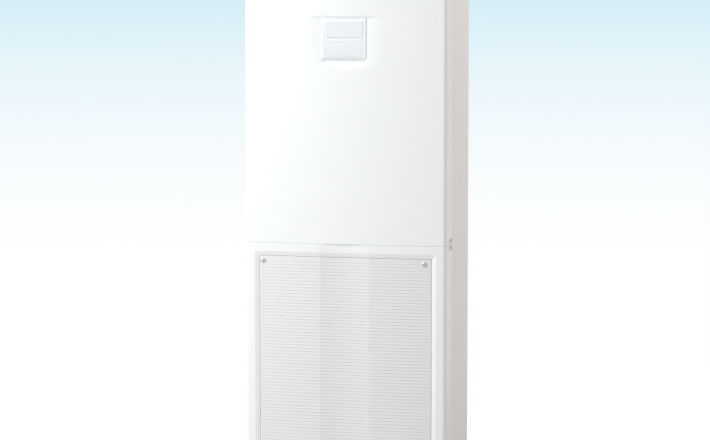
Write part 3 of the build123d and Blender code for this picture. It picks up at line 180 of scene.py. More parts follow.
def loft(rings, wrap=False):
    """Points and faces of a skin through rings: with a cap at each end, or on to the first ring again."""
    count = len(rings[0])
    points = [point for ring in rings for point in ring]
    faces = [] if wrap else [list(range(count))[::-1], list(range(len(points) - count, len(points)))]
    for s in range(len(rings) if wrap else len(rings) - 1):
        near, far = s * count, (s + 1) % len(rings) * count
        for i in range(count):
            j = (i + 1) % count
            faces.append([near + i, near + j, far + j, far + i])
    return points, faces


def box(low, high):
    """Points and faces of a box between two corners."""
    (x0, y0, z0), (x1, y1, z1) = low, high
    return loft([[(x0, y0, z), (x1, y0, z), (x1, y1, z), (x0, y1, z)] for z in (z0, z1)])


def rod_x(x0, x1, y, z, radius, steps=20):
    """A round pin along X."""
    return loft([[(x, y + dy, z + dz) for dy, dz in circle(radius, steps)] for x in (x0, x1)])


def grid(rows, is_open):
    """Points and faces of a grid, less the faces whose middle is_open(x, y, z) says is open."""
    wide = len(rows[0])
    points = [point for row in rows for point in row]
    faces = []
    for r in range(len(rows) - 1):
        for c in range(wide - 1):
            first = r * wide + c
            corners = [first, first + 1, first + wide + 1, first + wide]
            if not is_open(*[sum(points[k][axis] for k in corners) / 4 for axis in range(3)]):
                faces.append(corners)
    return points, faces


def gathered(name, parts):
    """One piece from many sets of points and faces."""
    points, faces = [], []
    for more_points, more_faces in parts:
        start = len(points)
        points += more_points
        faces += [[start + k for k in face] for face in more_faces]
    return piece_from(name, points, faces)


# %% [markdown]
# ## Plan of the front
# Seen from above, the front is a wide arc with a 10 mm round at each corner and a return along each side. The lower
# panel has a shallow trough down its middle, a second arc that dips 5 mm. Both are worked out here as functions, so
# that panels, grille and slats all follow the same line.

# %% The front's arc and its trough
SIDE_X = 300.0
FRONT_Y = -175.0
SEAM_Y = -76.0
BULGE = 11.0
CORNER_R = 10.0
ARC_R = (SIDE_X**2 + BULGE**2) / (2 * BULGE)
ARC_Y = FRONT_Y + ARC_R
TROUGH_HALF = 72.0
TROUGH_DEPTH = 5.0
TROUGH_SOFT = 0.5


def front_y(x, inset=0.0):
    return ARC_Y - math.sqrt((ARC_R - inset) ** 2 - x**2)


trough_sag = FRONT_Y + TROUGH_DEPTH - front_y(TROUGH_HALF)
TROUGH_R = (TROUGH_HALF**2 + trough_sag**2) / (2 * trough_sag)
TROUGH_Y = FRONT_Y + TROUGH_DEPTH - TROUGH_R


def trough_y(x, inset=0.0):
    """The front with its trough: the rear one of two arcs, blended where they meet."""
    plain = front_y(x, inset)
    reach = TROUGH_R + inset
    if abs(x) > TROUGH_HALF + 20:
        return plain
    hollow = TROUGH_Y + math.sqrt(reach**2 - x**2)
    mix = min(max(0.5 + (hollow - plain) / (2 * TROUGH_SOFT), 0), 1)
    return plain + (hollow - plain) * mix + TROUGH_SOFT * mix * (1 - mix)


def spread(*runs):
    """Sorted values from runs of (start, end, step), each end included once."""
    values = set()
    for start, end, step in runs:
        count = max(1, round((end - start) / step))
        values |= {round(start + (end - start) * i / count, 3) for i in range(count + 1)}
    return sorted(values)


def smooth(t):
    t = min(max(t, 0.0), 1.0)
    return t * t * (3 - 2 * t)


# %% A panel wrapped round the front
corner_x = SIDE_X - CORNER_R
corner_y = ARC_Y - math.sqrt((ARC_R - CORNER_R) ** 2 - corner_x**2)
corner_turn = math.atan2(ARC_Y - corner_y, corner_x)
CORNER_STEPS = 8


def wrapped_columns(front_xs, side_ys):
    """Plan points of the outer skin from the left seam to the right one, each with its outward direction."""
    right = []
    for x in front_xs:
        if x > 0:
            y = front_y(x)
            right.append(((x, y), (x / ARC_R, (y - ARC_Y) / ARC_R)))
    for i in range(CORNER_STEPS + 1):
        turn = -corner_turn * (1 - i / CORNER_STEPS)
        out = (math.cos(turn), math.sin(turn))
        right.append(((corner_x + CORNER_R * out[0], corner_y + CORNER_R * out[1]), out))
    for y in side_ys:
        right.append(((SIDE_X, y), (1, 0)))
    left = [((-x, y), (-nx, ny)) for (x, y), (nx, ny) in reversed(right)]
    middle = [((0, front_y(0)), (0, -1))] if 0 in front_xs else []
    return left + middle + right


WALL = 2.6
BORDER_NEAR = 1.2


def wrapped_panel(name, columns, rows, hollow, is_open, lining=None):
    """A moulded panel: plan points by (inset, height) rows, pressed back by hollow(x, z) where it faces forward."""
    skin = [
        [
            (x - nx * inset, y - ny * inset + (hollow(x, z) if abs(x) < corner_x else 0), z)
            for (x, y), (nx, ny) in columns
        ]
        for inset, z in rows
    ]
    panel = piece_from(name, *grid(skin, is_open))
    with editing(panel.data) as shape:
        loose = [v for v in shape.verts if not v.link_faces]
        bmesh.ops.delete(shape, geom=loose, context="VERTS")
        if lining:
            half, foot, head, back_y = (v * MM for v in lining)
            near = BORDER_NEAR * MM
            rim = [
                e
                for e in shape.edges
                if e.is_boundary
                and all(abs(v.co.x) < half + near and foot - near < v.co.z < head + near for v in e.verts)
            ]
            grown = bmesh.ops.extrude_edge_only(shape, edges=rim)
            for v in grown["geom"]:
                if isinstance(v, bmesh.types.BMVert):
                    v.co.y = back_y
        bmesh.ops.recalc_face_normals(shape, faces=shape.faces)
    return thicken(shade(panel), WALL)


# %% [markdown]
# ## Effects that several finishes share
# A moulded or painted surface is never one flat colour. Five effects come back in most materials here: a slow drift
# of tone, a fine grain, marks from rolling or drawing, dust that settles where a face looks up, and edges that a
# hand has rubbed. Each is a node group, built once, and every material sets its own strength. They could be image
# textures, but noise in object space needs no unwrapping and stays sharp at any distance.


# %% Node helpers
def new_group(name, inputs, outputs):
    """An empty node group with its sockets, ("FLOAT" | "COLOR" | "VECTOR", name, value), by name."""
    group = bpy.data.node_groups.new(name, "ShaderNodeTree")
    kinds = {"FLOAT": "NodeSocketFloat", "COLOR": "NodeSocketColor", "VECTOR": "NodeSocketVector"}
    for kind, label, value in inputs:
        socket = group.interface.new_socket(label, in_out="INPUT", socket_type=kinds[kind])
        socket.default_value = value
    for kind, label in outputs:
        group.interface.new_socket(label, in_out="OUTPUT", socket_type=kinds[kind])
    return group, group.nodes.new("NodeGroupInput").outputs, group.nodes.new("NodeGroupOutput").inputs


def feed(tree, socket, value):
    """Give an input its value, or its link where the value is a socket."""
    if isinstance(value, bpy.types.NodeSocket):
        tree.links.new(value, socket)
    else:
        socket.default_value = value


def node(tree, kind, settings=None, **values):
    """A node with its settings and inputs, which go by name or, as in0 and in1, by number."""
    made = tree.nodes.new(kind)
    for key, value in (settings or {}).items():
        setattr(made, key, value)
    for key, value in values.items():
        numbered = key.startswith("in") and key[2:].isdigit()
        feed(tree, made.inputs[int(key[2:]) if numbered else key.replace("_", " ")], value)
    return made


def place(tree):
    """Where a point lies on its piece, in metres."""
    return tree.nodes.new("ShaderNodeTexCoord").outputs["Object"]


def cloud(tree, scale, detail, **more):
    """A soft noise over the piece, as a mask."""
    return node(tree, "ShaderNodeTexNoise", Vector=place(tree), Scale=scale, Detail=detail, **more).outputs["Fac"]


def calc(tree, operation, first, second):
    return node(tree, "ShaderNodeMath", {"operation": operation}, in0=first, in1=second).outputs[0]


def scaled(tree, colour, gain):
    return node(tree, "ShaderNodeVectorMath", {"operation": "SCALE"}, in0=colour, Scale=gain).outputs[0]


def remap(tree, value, **ends):
    return node(tree, "ShaderNodeMapRange", Value=value, **ends).outputs[0]


def mixed(tree, share, one, other):
    """A colour between two."""
    return node(tree, "ShaderNodeMix", {"data_type": "RGBA"}, in0=share, in6=one, in7=other).outputs[2]


def bump(tree, strength, depth, height, **settings):
    made = node(tree, "ShaderNodeBump", settings, Strength=strength, Distance=depth, Height=height)
    return made.outputs["Normal"]


# %% Tone drift
def build_tone_drift():
    """Slow changes of tone, a few percent, over a decimetre or so."""
    group, given, result = new_group(
        "tone drift",
        [("COLOR", "Colour", (1, 1, 1, 1)), ("FLOAT", "Amount", 0.02), ("FLOAT", "Scale", 4.0)],
        [("COLOR", "Colour"), ("FLOAT", "Mask")],
    )
    drift = cloud(group, given["Scale"], 3.0)
    step = calc(group, "MULTIPLY", calc(group, "SUBTRACT", drift, 0.5), given["Amount"])
    feed(group, result["Colour"], scaled(group, given["Colour"], calc(group, "ADD", step, 1.0)))
    feed(group, result["Mask"], drift)
    return group


tone_drift = build_tone_drift()


# %% Fine grain
def build_fine_grain():
    """The texture of a spark-eroded mould or of rolled paint, as a normal and a mask. Size is in millimetres."""
    group, given, result = new_group(
        "fine grain",
        [("FLOAT", "Size", 0.8), ("FLOAT", "Strength", 0.1), ("FLOAT", "Depth", 0.00002)],
        [("VECTOR", "Normal"), ("FLOAT", "Mask")],
    )
    fine = cloud(group, calc(group, "DIVIDE", 1000.0, given["Size"]), 2.0, Roughness=0.6)
    feed(group, result["Normal"], bump(group, given["Strength"], given["Depth"], fine))
    feed(group, result["Mask"], fine)
    return group


fine_grain = build_fine_grain()


# %% Drawn marks
def build_drawn_marks():
    """Long fine marks along one axis, as on rolled, drawn or ground metal."""
    group, given, result = new_group(
        "drawn marks",
        [("VECTOR", "Stretch", (40.0, 2500.0, 2500.0)), ("FLOAT", "Strength", 0.15), ("FLOAT", "Depth", 0.00002)],
        [("VECTOR", "Normal"), ("FLOAT", "Mask")],
    )
    pulled = node(group, "ShaderNodeVectorMath", {"operation": "MULTIPLY"}, in0=place(group), in1=given["Stretch"])
    marks = node(group, "ShaderNodeTexNoise", Vector=pulled.outputs[0], Scale=1.0, Detail=3.0).outputs["Fac"]
    feed(group, result["Normal"], bump(group, given["Strength"], given["Depth"], marks))
    feed(group, result["Mask"], marks)
    return group


drawn_marks = build_drawn_marks()


# %% Settled dust
def build_settled_dust():
    """A thin film of dust on faces that look up, broken up by noise."""
    group, given, result = new_group(
        "settled dust",
        [("COLOR", "Colour", (1, 1, 1, 1)), ("COLOR", "Dust", (0.62, 0.6, 0.57, 1)), ("FLOAT", "Amount", 0.3)],
        [("COLOR", "Colour"), ("FLOAT", "Mask")],
    )
    facing = node(group, "ShaderNodeSeparateXYZ", Vector=group.nodes.new("ShaderNodeNewGeometry").outputs["Normal"])
    lies = calc(group, "MULTIPLY", remap(group, facing.outputs["Z"], From_Min=0.5), cloud(group, 35.0, 5.0))
    film = calc(group, "MULTIPLY", lies, given["Amount"])
    feed(group, result["Colour"], mixed(group, film, given["Colour"], given["Dust"]))
    feed(group, result["Mask"], film)
    return group


settled_dust = build_settled_dust()


# %% Rubbed edges
def build_rubbed_edges():
    """Where a hand or a cloth rubs an edge, the surface is a little lighter."""
    group, given, result = new_group(
        "rubbed edges",
        [("COLOR", "Colour", (1, 1, 1, 1)), ("COLOR", "Worn", (1, 1, 1, 1)), ("FLOAT", "Amount", 0.3)],
        [("COLOR", "Colour"), ("FLOAT", "Mask")],
    )
    flat = group.nodes.new("ShaderNodeNewGeometry").outputs["Normal"]
    softened = node(group, "ShaderNodeBevel", {"samples": 4}, Radius=0.0015).outputs[0]
    along = node(group, "ShaderNodeVectorMath", {"operation": "DOT_PRODUCT"}, in0=flat, in1=softened).outputs["Value"]
    edge = remap(group, along, From_Min=0.995, From_Max=0.85)
    share = calc(group, "MULTIPLY", calc(group, "MULTIPLY", edge, cloud(group, 22.0, 4.0)), given["Amount"])
    feed(group, result["Colour"], mixed(group, share, given["Colour"], given["Worn"]))
    feed(group, result["Mask"], share)
    return group


rubbed_edges = build_rubbed_edges()
print("shared effects", [g.name for g in (tone_drift, fine_grain, drawn_marks, settled_dust, rubbed_edges)])

# %% [markdown]
# ## Finishes
# Each finish is one material: its shader's own sockets hold what is the same all over, and the groups feed what
# changes. Roughness follows the grain's mask, so that the highlights break up as they do on a real surface.


# %% Starting a finish
def effect(tree, group, **values):
    """One shared effect, placed in a material, as its outputs by name."""
    made = tree.nodes.new("ShaderNodeGroup")
    made.node_tree = group
    for label, value in values.items():
        feed(tree, made.inputs[label], value)
    return made.outputs


def new_finish(name, roughness, metallic=0.0, **sockets):
    material = bpy.data.materials.new(name)
    material.use_nodes = True
    tree = material.node_tree
    shader = tree.nodes["Principled BSDF"]
    shader.inputs["Roughness"].default_value = roughness
    shader.inputs["Metallic"].default_value = metallic
    for label, value in sockets.items():
        shader.inputs[label.replace("_", " ")].default_value = value
    return material, tree, shader.inputs


def rough_from(tree, shader, mask, low, high):
    """Roughness between two values, by a mask."""
    feed(tree, shader["Roughness"], remap(tree, mask, From_Min=0.25, From_Max=0.75, To_Min=low, To_Max=high))


def rgba(red, green, blue):
    return (red, green, blue, 1.0)


WORN_GAIN = 1.05


def coated(name, colour, rough, grain, strength, drift=0.02, dust=0.25):
    """Moulded plastic or paint: tone drift, rubbed edges and dust on the colour, and a fine grain."""
    material, tree, shader = new_finish(name, rough[0])
    worn = rgba(*[min(1, c * WORN_GAIN) for c in colour])
    tone = effect(tree, tone_drift, Colour=rgba(*colour), Amount=drift, Scale=3.5)
    edges = effect(tree, rubbed_edges, Colour=tone["Colour"], Worn=worn)
    dusty = effect(tree, settled_dust, Colour=edges["Colour"], Amount=dust)
    feed(tree, shader["Base Color"], dusty["Colour"])
    texture = effect(tree, fine_grain, Size=grain, Strength=strength)
    feed(tree, shader["Normal"], texture["Normal"])
    rough_from(tree, shader, texture["Mask"], *rough)
    return material


# %% Plastics and paints
finishes = {
    "front_white": coated("front white", (0.925, 0.936, 0.951), (0.30, 0.40), 0.5, 0.10, drift=0.012, dust=0.12),
    "unit_white": coated("unit white", (0.87, 0.887, 0.905), (0.35, 0.45), 0.4, 0.10, drift=0.012, dust=0.12),
    "cabinet_paint": coated("cabinet paint", (0.92, 0.917, 0.915), (0.42, 0.55), 1.3, 0.35, dust=0.3),
    "grille_grey": coated("grille grey", (0.83, 0.825, 0.835), (0.45, 0.55), 0.4, 0.15, dust=0.3),
    "louvre_white": coated("louvre white", (0.88, 0.88, 0.88), (0.40, 0.50), 0.4, 0.12),
    "dark_plastic": coated("dark plastic", (0.16, 0.17, 0.18), (0.45, 0.60), 0.5, 0.2, dust=0.5),
    "pan_plastic": coated("pan plastic", (0.75, 0.77, 0.78), (0.40, 0.55), 0.6, 0.15),
    "motor_paint": coated("motor paint", (0.10, 0.10, 0.11), (0.35, 0.50), 1.0, 0.3, dust=0.5),
    "board_green": coated("board green", (0.10, 0.33, 0.20), (0.30, 0.45), 0.3, 0.1, drift=0.1),
    "button_grey": coated("button grey", (0.70, 0.71, 0.73), (0.55, 0.70), 0.3, 0.2),
    "net": coated("filter net", (0.80, 0.81, 0.82), (0.55, 0.70), 0.2, 0.2, drift=0.05, dust=0.3),
}


# %% Window
def build_window():
    """The display's cover: clear plastic over a pale blank screen, so a glossy coat over a smooth pale base."""
    material, tree, shader = new_finish("window", 0.12, Coat_Weight=0.6, Coat_Roughness=0.04)
    tone = effect(tree, tone_drift, Colour=rgba(0.875, 0.89, 0.91), Amount=0.01, Scale=20.0)
    feed(tree, shader["Base Color"], tone["Colour"])
    texture = effect(tree, fine_grain, Size=2.0, Strength=0.03)
    feed(tree, shader["Coat Normal"], texture["Normal"])
    return material


finishes["window"] = build_window()


# %% Bare metals
def drawn_metal(name, colour, rough, stretch, strength, drift=0.1):
    """Rolled, drawn or ground metal: marks along its length that break up the gloss."""
    material, tree, shader = new_finish(name, rough[0], metallic=1.0)
    tone = effect(tree, tone_drift, Colour=rgba(*colour), Amount=drift, Scale=12.0)
    dusty = effect(tree, settled_dust, Colour=tone["Colour"], Amount=0.25)
    feed(tree, shader["Base Color"], dusty["Colour"])
    marks = effect(tree, drawn_marks, Stretch=stretch, Strength=strength)
    feed(tree, shader["Normal"], marks["Normal"])
    rough_from(tree, shader, marks["Mask"], *rough)
    return material


ALONG_X = (30.0, 2500.0, 2500.0)
ALONG_Z = (2500.0, 2500.0, 30.0)
finishes["plated_screw"] = drawn_metal("plated screw", (0.55, 0.55, 0.56), (0.25, 0.40), ALONG_X, 0.1)
finishes["fins"] = drawn_metal("bare fins", (0.80, 0.81, 0.82), (0.30, 0.45), ALONG_Z, 0.15)
finishes["copper"] = drawn_metal("drawn copper", (0.72, 0.43, 0.29), (0.22, 0.42), ALONG_Z, 0.1, drift=0.3)
finishes["brass_nut"] = drawn_metal("turned brass", (0.78, 0.66, 0.38), (0.20, 0.35), ALONG_X, 0.1)
finishes["shaft_steel"] = drawn_metal("ground steel", (0.60, 0.60, 0.61), (0.15, 0.30), ALONG_X, 0.1)


# %% Galvanised sheet
def build_galvanised():
    """Zinc crystals, each a flat patch with its own tone and gloss, from a cell texture."""
    material, tree, shader = new_finish("galvanised", 0.4, metallic=1.0)
    crystals = node(tree, "ShaderNodeTexVoronoi", Vector=place(tree), Scale=110.0)
    patch = node(tree, "ShaderNodeSeparateColor", Color=crystals.outputs["Color"]).outputs
    tone = mixed(tree, patch[0], rgba(0.55, 0.56, 0.575), rgba(0.68, 0.69, 0.70))
    dusty = effect(tree, settled_dust, Colour=tone, Amount=0.4)
    feed(tree, shader["Base Color"], dusty["Colour"])
    rough_from(tree, shader, patch[1], 0.32, 0.5)
    texture = effect(tree, fine_grain, Size=3.0, Strength=0.15)
    feed(tree, shader["Normal"], texture["Normal"])
    return material


finishes["galvanised"] = build_galvanised()


# %% Foam
def build_foam():
    """Expanded beads, pressed together: a cell texture that dips between them, with painted shade between the beads.
    """
    material, tree, shader = new_finish("bead foam", 0.85)
    beads = node(tree, "ShaderNodeTexVoronoi", Vector=place(tree), Scale=260.0).outputs["Distance"]
    tone = effect(tree, tone_drift, Colour=rgba(0.92, 0.92, 0.91), Amount=0.05, Scale=8.0)
    # Painted shade: the colour darkens towards the edge of each bead, where the surface dips between them.
    painted_bead_shade = remap(tree, beads, From_Max=0.6, To_Min=1.0, To_Max=0.82)
    feed(tree, shader["Base Color"], scaled(tree, tone["Colour"], painted_bead_shade))
    feed(tree, shader["Normal"], bump(tree, 0.5, 0.0006, beads, invert=True))
    return material


finishes["foam"] = build_foam()
print("finishes", len(finishes))

# %% [markdown]
# ## Finishes on the CAD nodes
# Most nodes keep their CAD shape. The record says which material slot each of them has, so one loop gives every
# node its finish. Only the catch plates differ: they are painted like the cabinet, so that no bare metal shines at a
# notch. The pieces made further down then stand for the nodes that need a softer shape.

# %% Every node gets its slot's finish
for part in frame["record"]["subparts"]:
    cad = nodes[part["node"]]
    cad.data.polygons.foreach_set("use_smooth", [True] * len(cad.data.polygons))
    for holder in cad.material_slots:
        holder.material = finishes[part["material_slot"]]
for holder in nodes["panel_catches"].material_slots:
    holder.material = finishes["cabinet_paint"]

# %% [markdown]
# ## Upper front panel
# The real panel is one moulding, and the recess for the control unit is scooped into it: a straight ledge above,
# and long soft slopes at the sides and below, with no hard line anywhere. A CAD loft shows its edges, so the panel
# is a grid of points in rows and columns, pressed back by a smooth function. The grid is fine only where it bends.
# Behind the control unit, and under its chin, a pocket that nobody sees gives its keys the room to go in.

# %% Recess
LOW_SEAM = 805.0
HIGH_SEAM = 1522.0
SEAM_GAP = 0.2
UNIT_Z = 1400.0
UNIT_W = 132.0
UNIT_H = 126.0
UNIT_FOOT = UNIT_Z - UNIT_H / 2
UNIT_TOP = UNIT_Z + UNIT_H / 2
RECESS_DEPTH = 5.2
RECESS_TOP = UNIT_TOP + 4
RECESS_FOOT = UNIT_FOOT - 24
RECESS_HALF = (128.0, 114.0)
RECESS_CORNER = 50.0
SIDE_SLOPE = 100.0
FOOT_SLOPE = 26.0
LEDGE_SLOPE = 3.0
POCKET_DEPTH = 7.8
POCKET_TOP = UNIT_TOP - 12
POCKET_HALF = UNIT_W / 2 - 6
CHIN_TOP = UNIT_FOOT + 18
CHIN_FOOT = UNIT_FOOT - 4
CHIN_HALF = UNIT_W / 2 + 2
POCKET_SLOPE = 8.0
POCKET_SIDE_SLOPE = 12.0
CHIN_SLOPE = 6.0


def recess(x, z):
    """How far the skin is pressed back for the control unit."""
    if not RECESS_FOOT < z < RECESS_TOP:
        return 0
    share = (RECESS_TOP - z) / (RECESS_TOP - RECESS_FOOT)
    half = RECESS_HALF[0] + (RECESS_HALF[1] - RECESS_HALF[0]) * share
    low = RECESS_FOOT + RECESS_CORNER - z
    if low > 0:
        half -= RECESS_CORNER * (1 - math.sqrt(1 - (low / RECESS_CORNER) ** 2))
    side = smooth((half - abs(x)) / SIDE_SLOPE)
    foot = smooth((z - RECESS_FOOT) / FOOT_SLOPE)
    ledge = smooth((RECESS_TOP - z) / LEDGE_SLOPE)
    bowed = front_y(x) - FRONT_Y
    depth = max(0.0, RECESS_DEPTH - bowed) * side * foot * ledge
    behind = smooth((POCKET_TOP - z) / POCKET_SLOPE) * smooth((POCKET_HALF - abs(x)) / POCKET_SIDE_SLOPE)
    chin = smooth((CHIN_TOP - z) / POCKET_SLOPE) * smooth((CHIN_HALF - abs(x)) / POCKET_SIDE_SLOPE)
    pocket = max(behind, chin) * smooth((z - CHIN_FOOT) / CHIN_SLOPE)
    return depth + (POCKET_DEPTH - bowed - depth) * pocket


# %% Rows, columns and finger notches
NOTCH_LEN = 48.0
NOTCH_H = 13.0
NOTCH_EDGE = 3.0
RIM = 9.0
ROW_CLEAR = 2.0
SIDE_YS = (-150.0, -137.0, SEAM_Y - NOTCH_LEN, -108.0, -92.0, SEAM_Y)


def rims(foot, head, between):
    """Rows of a wrapped panel: a turned-in rim with a rounded edge at each end, and plain rows between."""
    turn = [(RIM, 0.0), (0.5, 0.0), (0.15, 0.15), (0.0, 0.5)]
    return (
        [(inset, foot + up) for inset, up in turn]
        + [(0.0, z) for z in between if foot + ROW_CLEAR < z < head - ROW_CLEAR]
        + [(inset, head - up) for inset, up in reversed(turn)]
    )


def notch(x, y, z, foot):
    return abs(x) > SIDE_X - 1 and y > SEAM_Y - NOTCH_LEN and foot < z < foot + NOTCH_H


upper_foot = LOW_SEAM + SEAM_GAP
upper_head = HIGH_SEAM - SEAM_GAP
upper_notch = upper_foot + NOTCH_EDGE
upper_rows = rims(
    upper_foot,
    upper_head,
    spread(
        (upper_notch, upper_notch + NOTCH_H, NOTCH_H / 2),
        (upper_notch + NOTCH_H, RECESS_FOOT, 25),
        (RECESS_FOOT, CHIN_TOP, 1.5),
        (CHIN_TOP, RECESS_TOP - LEDGE_SLOPE, 4),
        (RECESS_TOP - LEDGE_SLOPE, RECESS_TOP, 0.5),
        (RECESS_TOP, upper_head, 12),
    ),
)
upper_xs = spread((0, 54, 3), (54, 69, 1.5), (69, 132, 3), (132, 285, 9))
upper_panel = wrapped_panel(
    "upper_front_skin",
    wrapped_columns(upper_xs, SIDE_YS),
    upper_rows,
    recess,
    lambda x, y, z: notch(x, y, z, upper_notch),
)
wear(upper_panel, finishes["front_white"])
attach(upper_panel, "cabinet")
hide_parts("upper_front_panel")
print("upper panel", len(upper_panel.data.polygons), "faces")

# %% [markdown]
# ## Lower front panel
# The same moulding with the trough down its middle. Round the grille's opening the skin falls back in a bevel, and
# a collar runs from there into the cabinet. The opening is left out of the grid and its rim is pulled back in one
# step, so that bevel, rim and collar are one skin.

# %% Lower panel
BASE_H = 60.0
GRILLE_HALF = 257.0
GRILLE_Z = (110.0, 766.0)
OPEN_GAP = 1.0
BEVEL_W = 13.0
BEVEL_ROWS = (0, 0.25, 0.5, 0.75, 0.94, 1, 1.06)
GRILLE_INSET = 5.0
COLLAR_Y = -147.0


def beyond(x, z, half, foot, head):
    """How far a point lies outside an opening."""
    return max(abs(x) - half, foot - z, z - head, 0.0)


def in_opening(x, z, half, foot, head):
    return abs(x) < half and foot < z < head


def bevel_lines(width, *edges):
    """Where the grid needs a line for a bevel: at each of its steps, outward from each edge, (edge, direction)."""
    return {edge + way * width * share for edge, way in edges for share in BEVEL_ROWS}


open_half = GRILLE_HALF + OPEN_GAP
open_z = (GRILLE_Z[0] - OPEN_GAP, GRILLE_Z[1] + OPEN_GAP)


def lower_hollow(x, z):
    """The trough, and the bevel round the opening."""
    out = beyond(x, z, open_half, *open_z)
    bevel = GRILLE_INSET * (1 - min(out / BEVEL_W, 1.0))
    return trough_y(x) - front_y(x) + bevel


lower_head = LOW_SEAM - SEAM_GAP
lower_notch = lower_head - NOTCH_EDGE - NOTCH_H
plain_zs = spread((70, 90, 10), (130, 750, 40), (lower_notch, lower_notch + NOTCH_H, NOTCH_H / 2))
lower_rows = rims(
    BASE_H, lower_head, sorted(set(plain_zs) | bevel_lines(BEVEL_W, (open_z[0], -1), (open_z[1], 1)))
)
plain_xs = spread((0, 60, 6), (60, 84, 1.5), (84, 250, 12), (270, 285, 7.5))
lower_xs = sorted(set(plain_xs) | bevel_lines(BEVEL_W, (open_half, 1)))
lower_panel = wrapped_panel(
    "lower_front_skin",
    wrapped_columns(lower_xs, SIDE_YS),
    lower_rows,
    lower_hollow,
    lambda x, y, z: notch(x, y, z, lower_notch) or in_opening(x, z, open_half, *open_z),
    lining=(open_half, *open_z, COLLAR_Y),
)
wear(lower_panel, finishes["front_white"])
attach(lower_panel, "cabinet")
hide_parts("lower_front_panel")
print("lower panel", len(lower_panel.data.polygons), "faces")

# %% [markdown]
# ## Outlet frame
# The top of the front: one more wrapped panel, with the mouth and its deep collar. Its head is closed by a lid that
# follows the front's arc, and the top cover meets it at the seam.

# %% Outlet frame
TOP = 1850.0
MOUTH_HALF = 258.0
MOUTH_Z = (1552.0, 1820.0)
MOUTH_BEVEL_W = 6.0
MOUTH_BEVEL_D = 4.0
DUCT_Y = -55.2
LID_INSET = RIM - 1
LID_T = 3.0
LID_DROP = 0.05


def outlet_hollow(x, z):
    out = beyond(x, z, MOUTH_HALF, *MOUTH_Z)
    return MOUTH_BEVEL_D * (1 - min(out / MOUTH_BEVEL_W, 1.0))


mouth_zs = set(spread((1530, 1540, 5), (1580, 1800, 44), (1832, 1842, 5)))
mouth_zs |= bevel_lines(MOUTH_BEVEL_W, (MOUTH_Z[0], -1), (MOUTH_Z[1], 1))
mouth_xs = set(spread((0, 250, 12.5), (270, 285, 7.5))) | bevel_lines(MOUTH_BEVEL_W, (MOUTH_HALF, 1))
outlet_columns = wrapped_columns(sorted(mouth_xs), (-140.0, -108.0, SEAM_Y))
outlet_skin = wrapped_panel(
    "outlet_skin",
    outlet_columns,
    rims(HIGH_SEAM + SEAM_GAP, TOP, sorted(mouth_zs)),
    outlet_hollow,
    lambda x, y, z: in_opening(x, z, MOUTH_HALF, *MOUTH_Z),
    lining=(MOUTH_HALF, *MOUTH_Z, DUCT_Y),
)
lid_outline = [(x - nx * LID_INSET, y - ny * LID_INSET) for (x, y), (nx, ny) in outlet_columns]
lid_rings = [[(x, y, z) for x, y in lid_outline] for z in (TOP - LID_T, TOP - LID_DROP)]
outlet = join("outlet_skin_and_lid", outlet_skin, piece_from("outlet_lid", *loft(lid_rings)))
wear(outlet, finishes["front_white"])
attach(outlet, "cabinet")
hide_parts("outlet_frame")
print("outlet frame", len(outlet.data.polygons), "faces")

# %% [markdown]
# ## Suction grille
# The real grille hides the filter behind it: its slats are thin blades that slope up and back, so that from above
# one sees pale plastic between them and no dark gap. The CAD grille has plain slots. Here the frame is a tray that
# follows the trough, and every slat is a section swept along the same line.

# %% Grille frame
GRILLE_BACK_Y = -150.0
GRILLE_WALL = 2.4
HINGE_Y = -159.0
FOOT_R = 11.3
FOOT_CLEAR = 0.2
HINGE_Z = GRILLE_Z[0] + FOOT_R
SLOT_HALF = GRILLE_HALF - 6.0
SLOT_FOOT = HINGE_Z + 6.0
SLOT_HEAD = GRILLE_Z[1] - 6.0
SCREW_X = (-246.5, 236.0)
SCREW_Z = GRILLE_Z[1] - 14.0
SCREW_LAND = 11.0
SHORT_FROM = SCREW_Z - SCREW_LAND - 2.4
SHORT_X = (SCREW_X[0] + SCREW_LAND, SCREW_X[1] - SCREW_LAND)


def grille_y(x):
    return trough_y(x, GRILLE_INSET)


def grille_open(x, y, z):
    """The slatted field, cut short beside the two screws."""
    if z > SHORT_FROM:
        return SHORT_X[0] < x < SHORT_X[1] and z < SLOT_HEAD
    return abs(x) < SLOT_HALF and z > SLOT_FOOT


def grille_back(z):
    """The rear of the rim, rounded about the hinge below it, so that the foot clears the filter's rails."""
    below = HINGE_Z - z
    if below <= 0:
        return GRILLE_BACK_Y
    return min(GRILLE_BACK_Y, HINGE_Y + math.sqrt(max(0.0, (FOOT_R - FOOT_CLEAR) ** 2 - below**2)))


edge_turn = [(0.0, 18.0), (0.0, 0.9), (0.27, 0.27), (0.9, 0.0)]
field_xs = {-SLOT_HALF, *SHORT_X, SLOT_HALF}
field_xs |= set(spread((-220, -84, 12.4), (-84, -60, 1.5), (-60, 60, 6), (60, 84, 1.5), (84, 215, 12)))
grille_columns = (
    [(-GRILLE_HALF + out, back) for out, back in edge_turn]
    + [(x, 0.0) for x in sorted(field_xs)]
    + [(GRILLE_HALF - out, back) for out, back in reversed(edge_turn)]
)
grille_rows = (
    [(HINGE_Z - down, FOOT_R - ahead) for ahead, down in arc(FOOT_R, 120, 0, 10)]
    + [(z, 0.0) for z in sorted({SLOT_FOOT, SHORT_FROM, SLOT_HEAD} | set(spread((160, 720, 56))))]
    + [(GRILLE_Z[1] - out, back) for out, back in reversed(edge_turn)]
)
grille_skin = [
    [(x, min(grille_y(x) + max(row_back, column_back), grille_back(z)), z) for x, column_back in grille_columns]
    for z, row_back in grille_rows
]
grille_frame = thicken(piece_from("grille_frame", *grid(grille_skin, grille_open)), GRILLE_WALL)

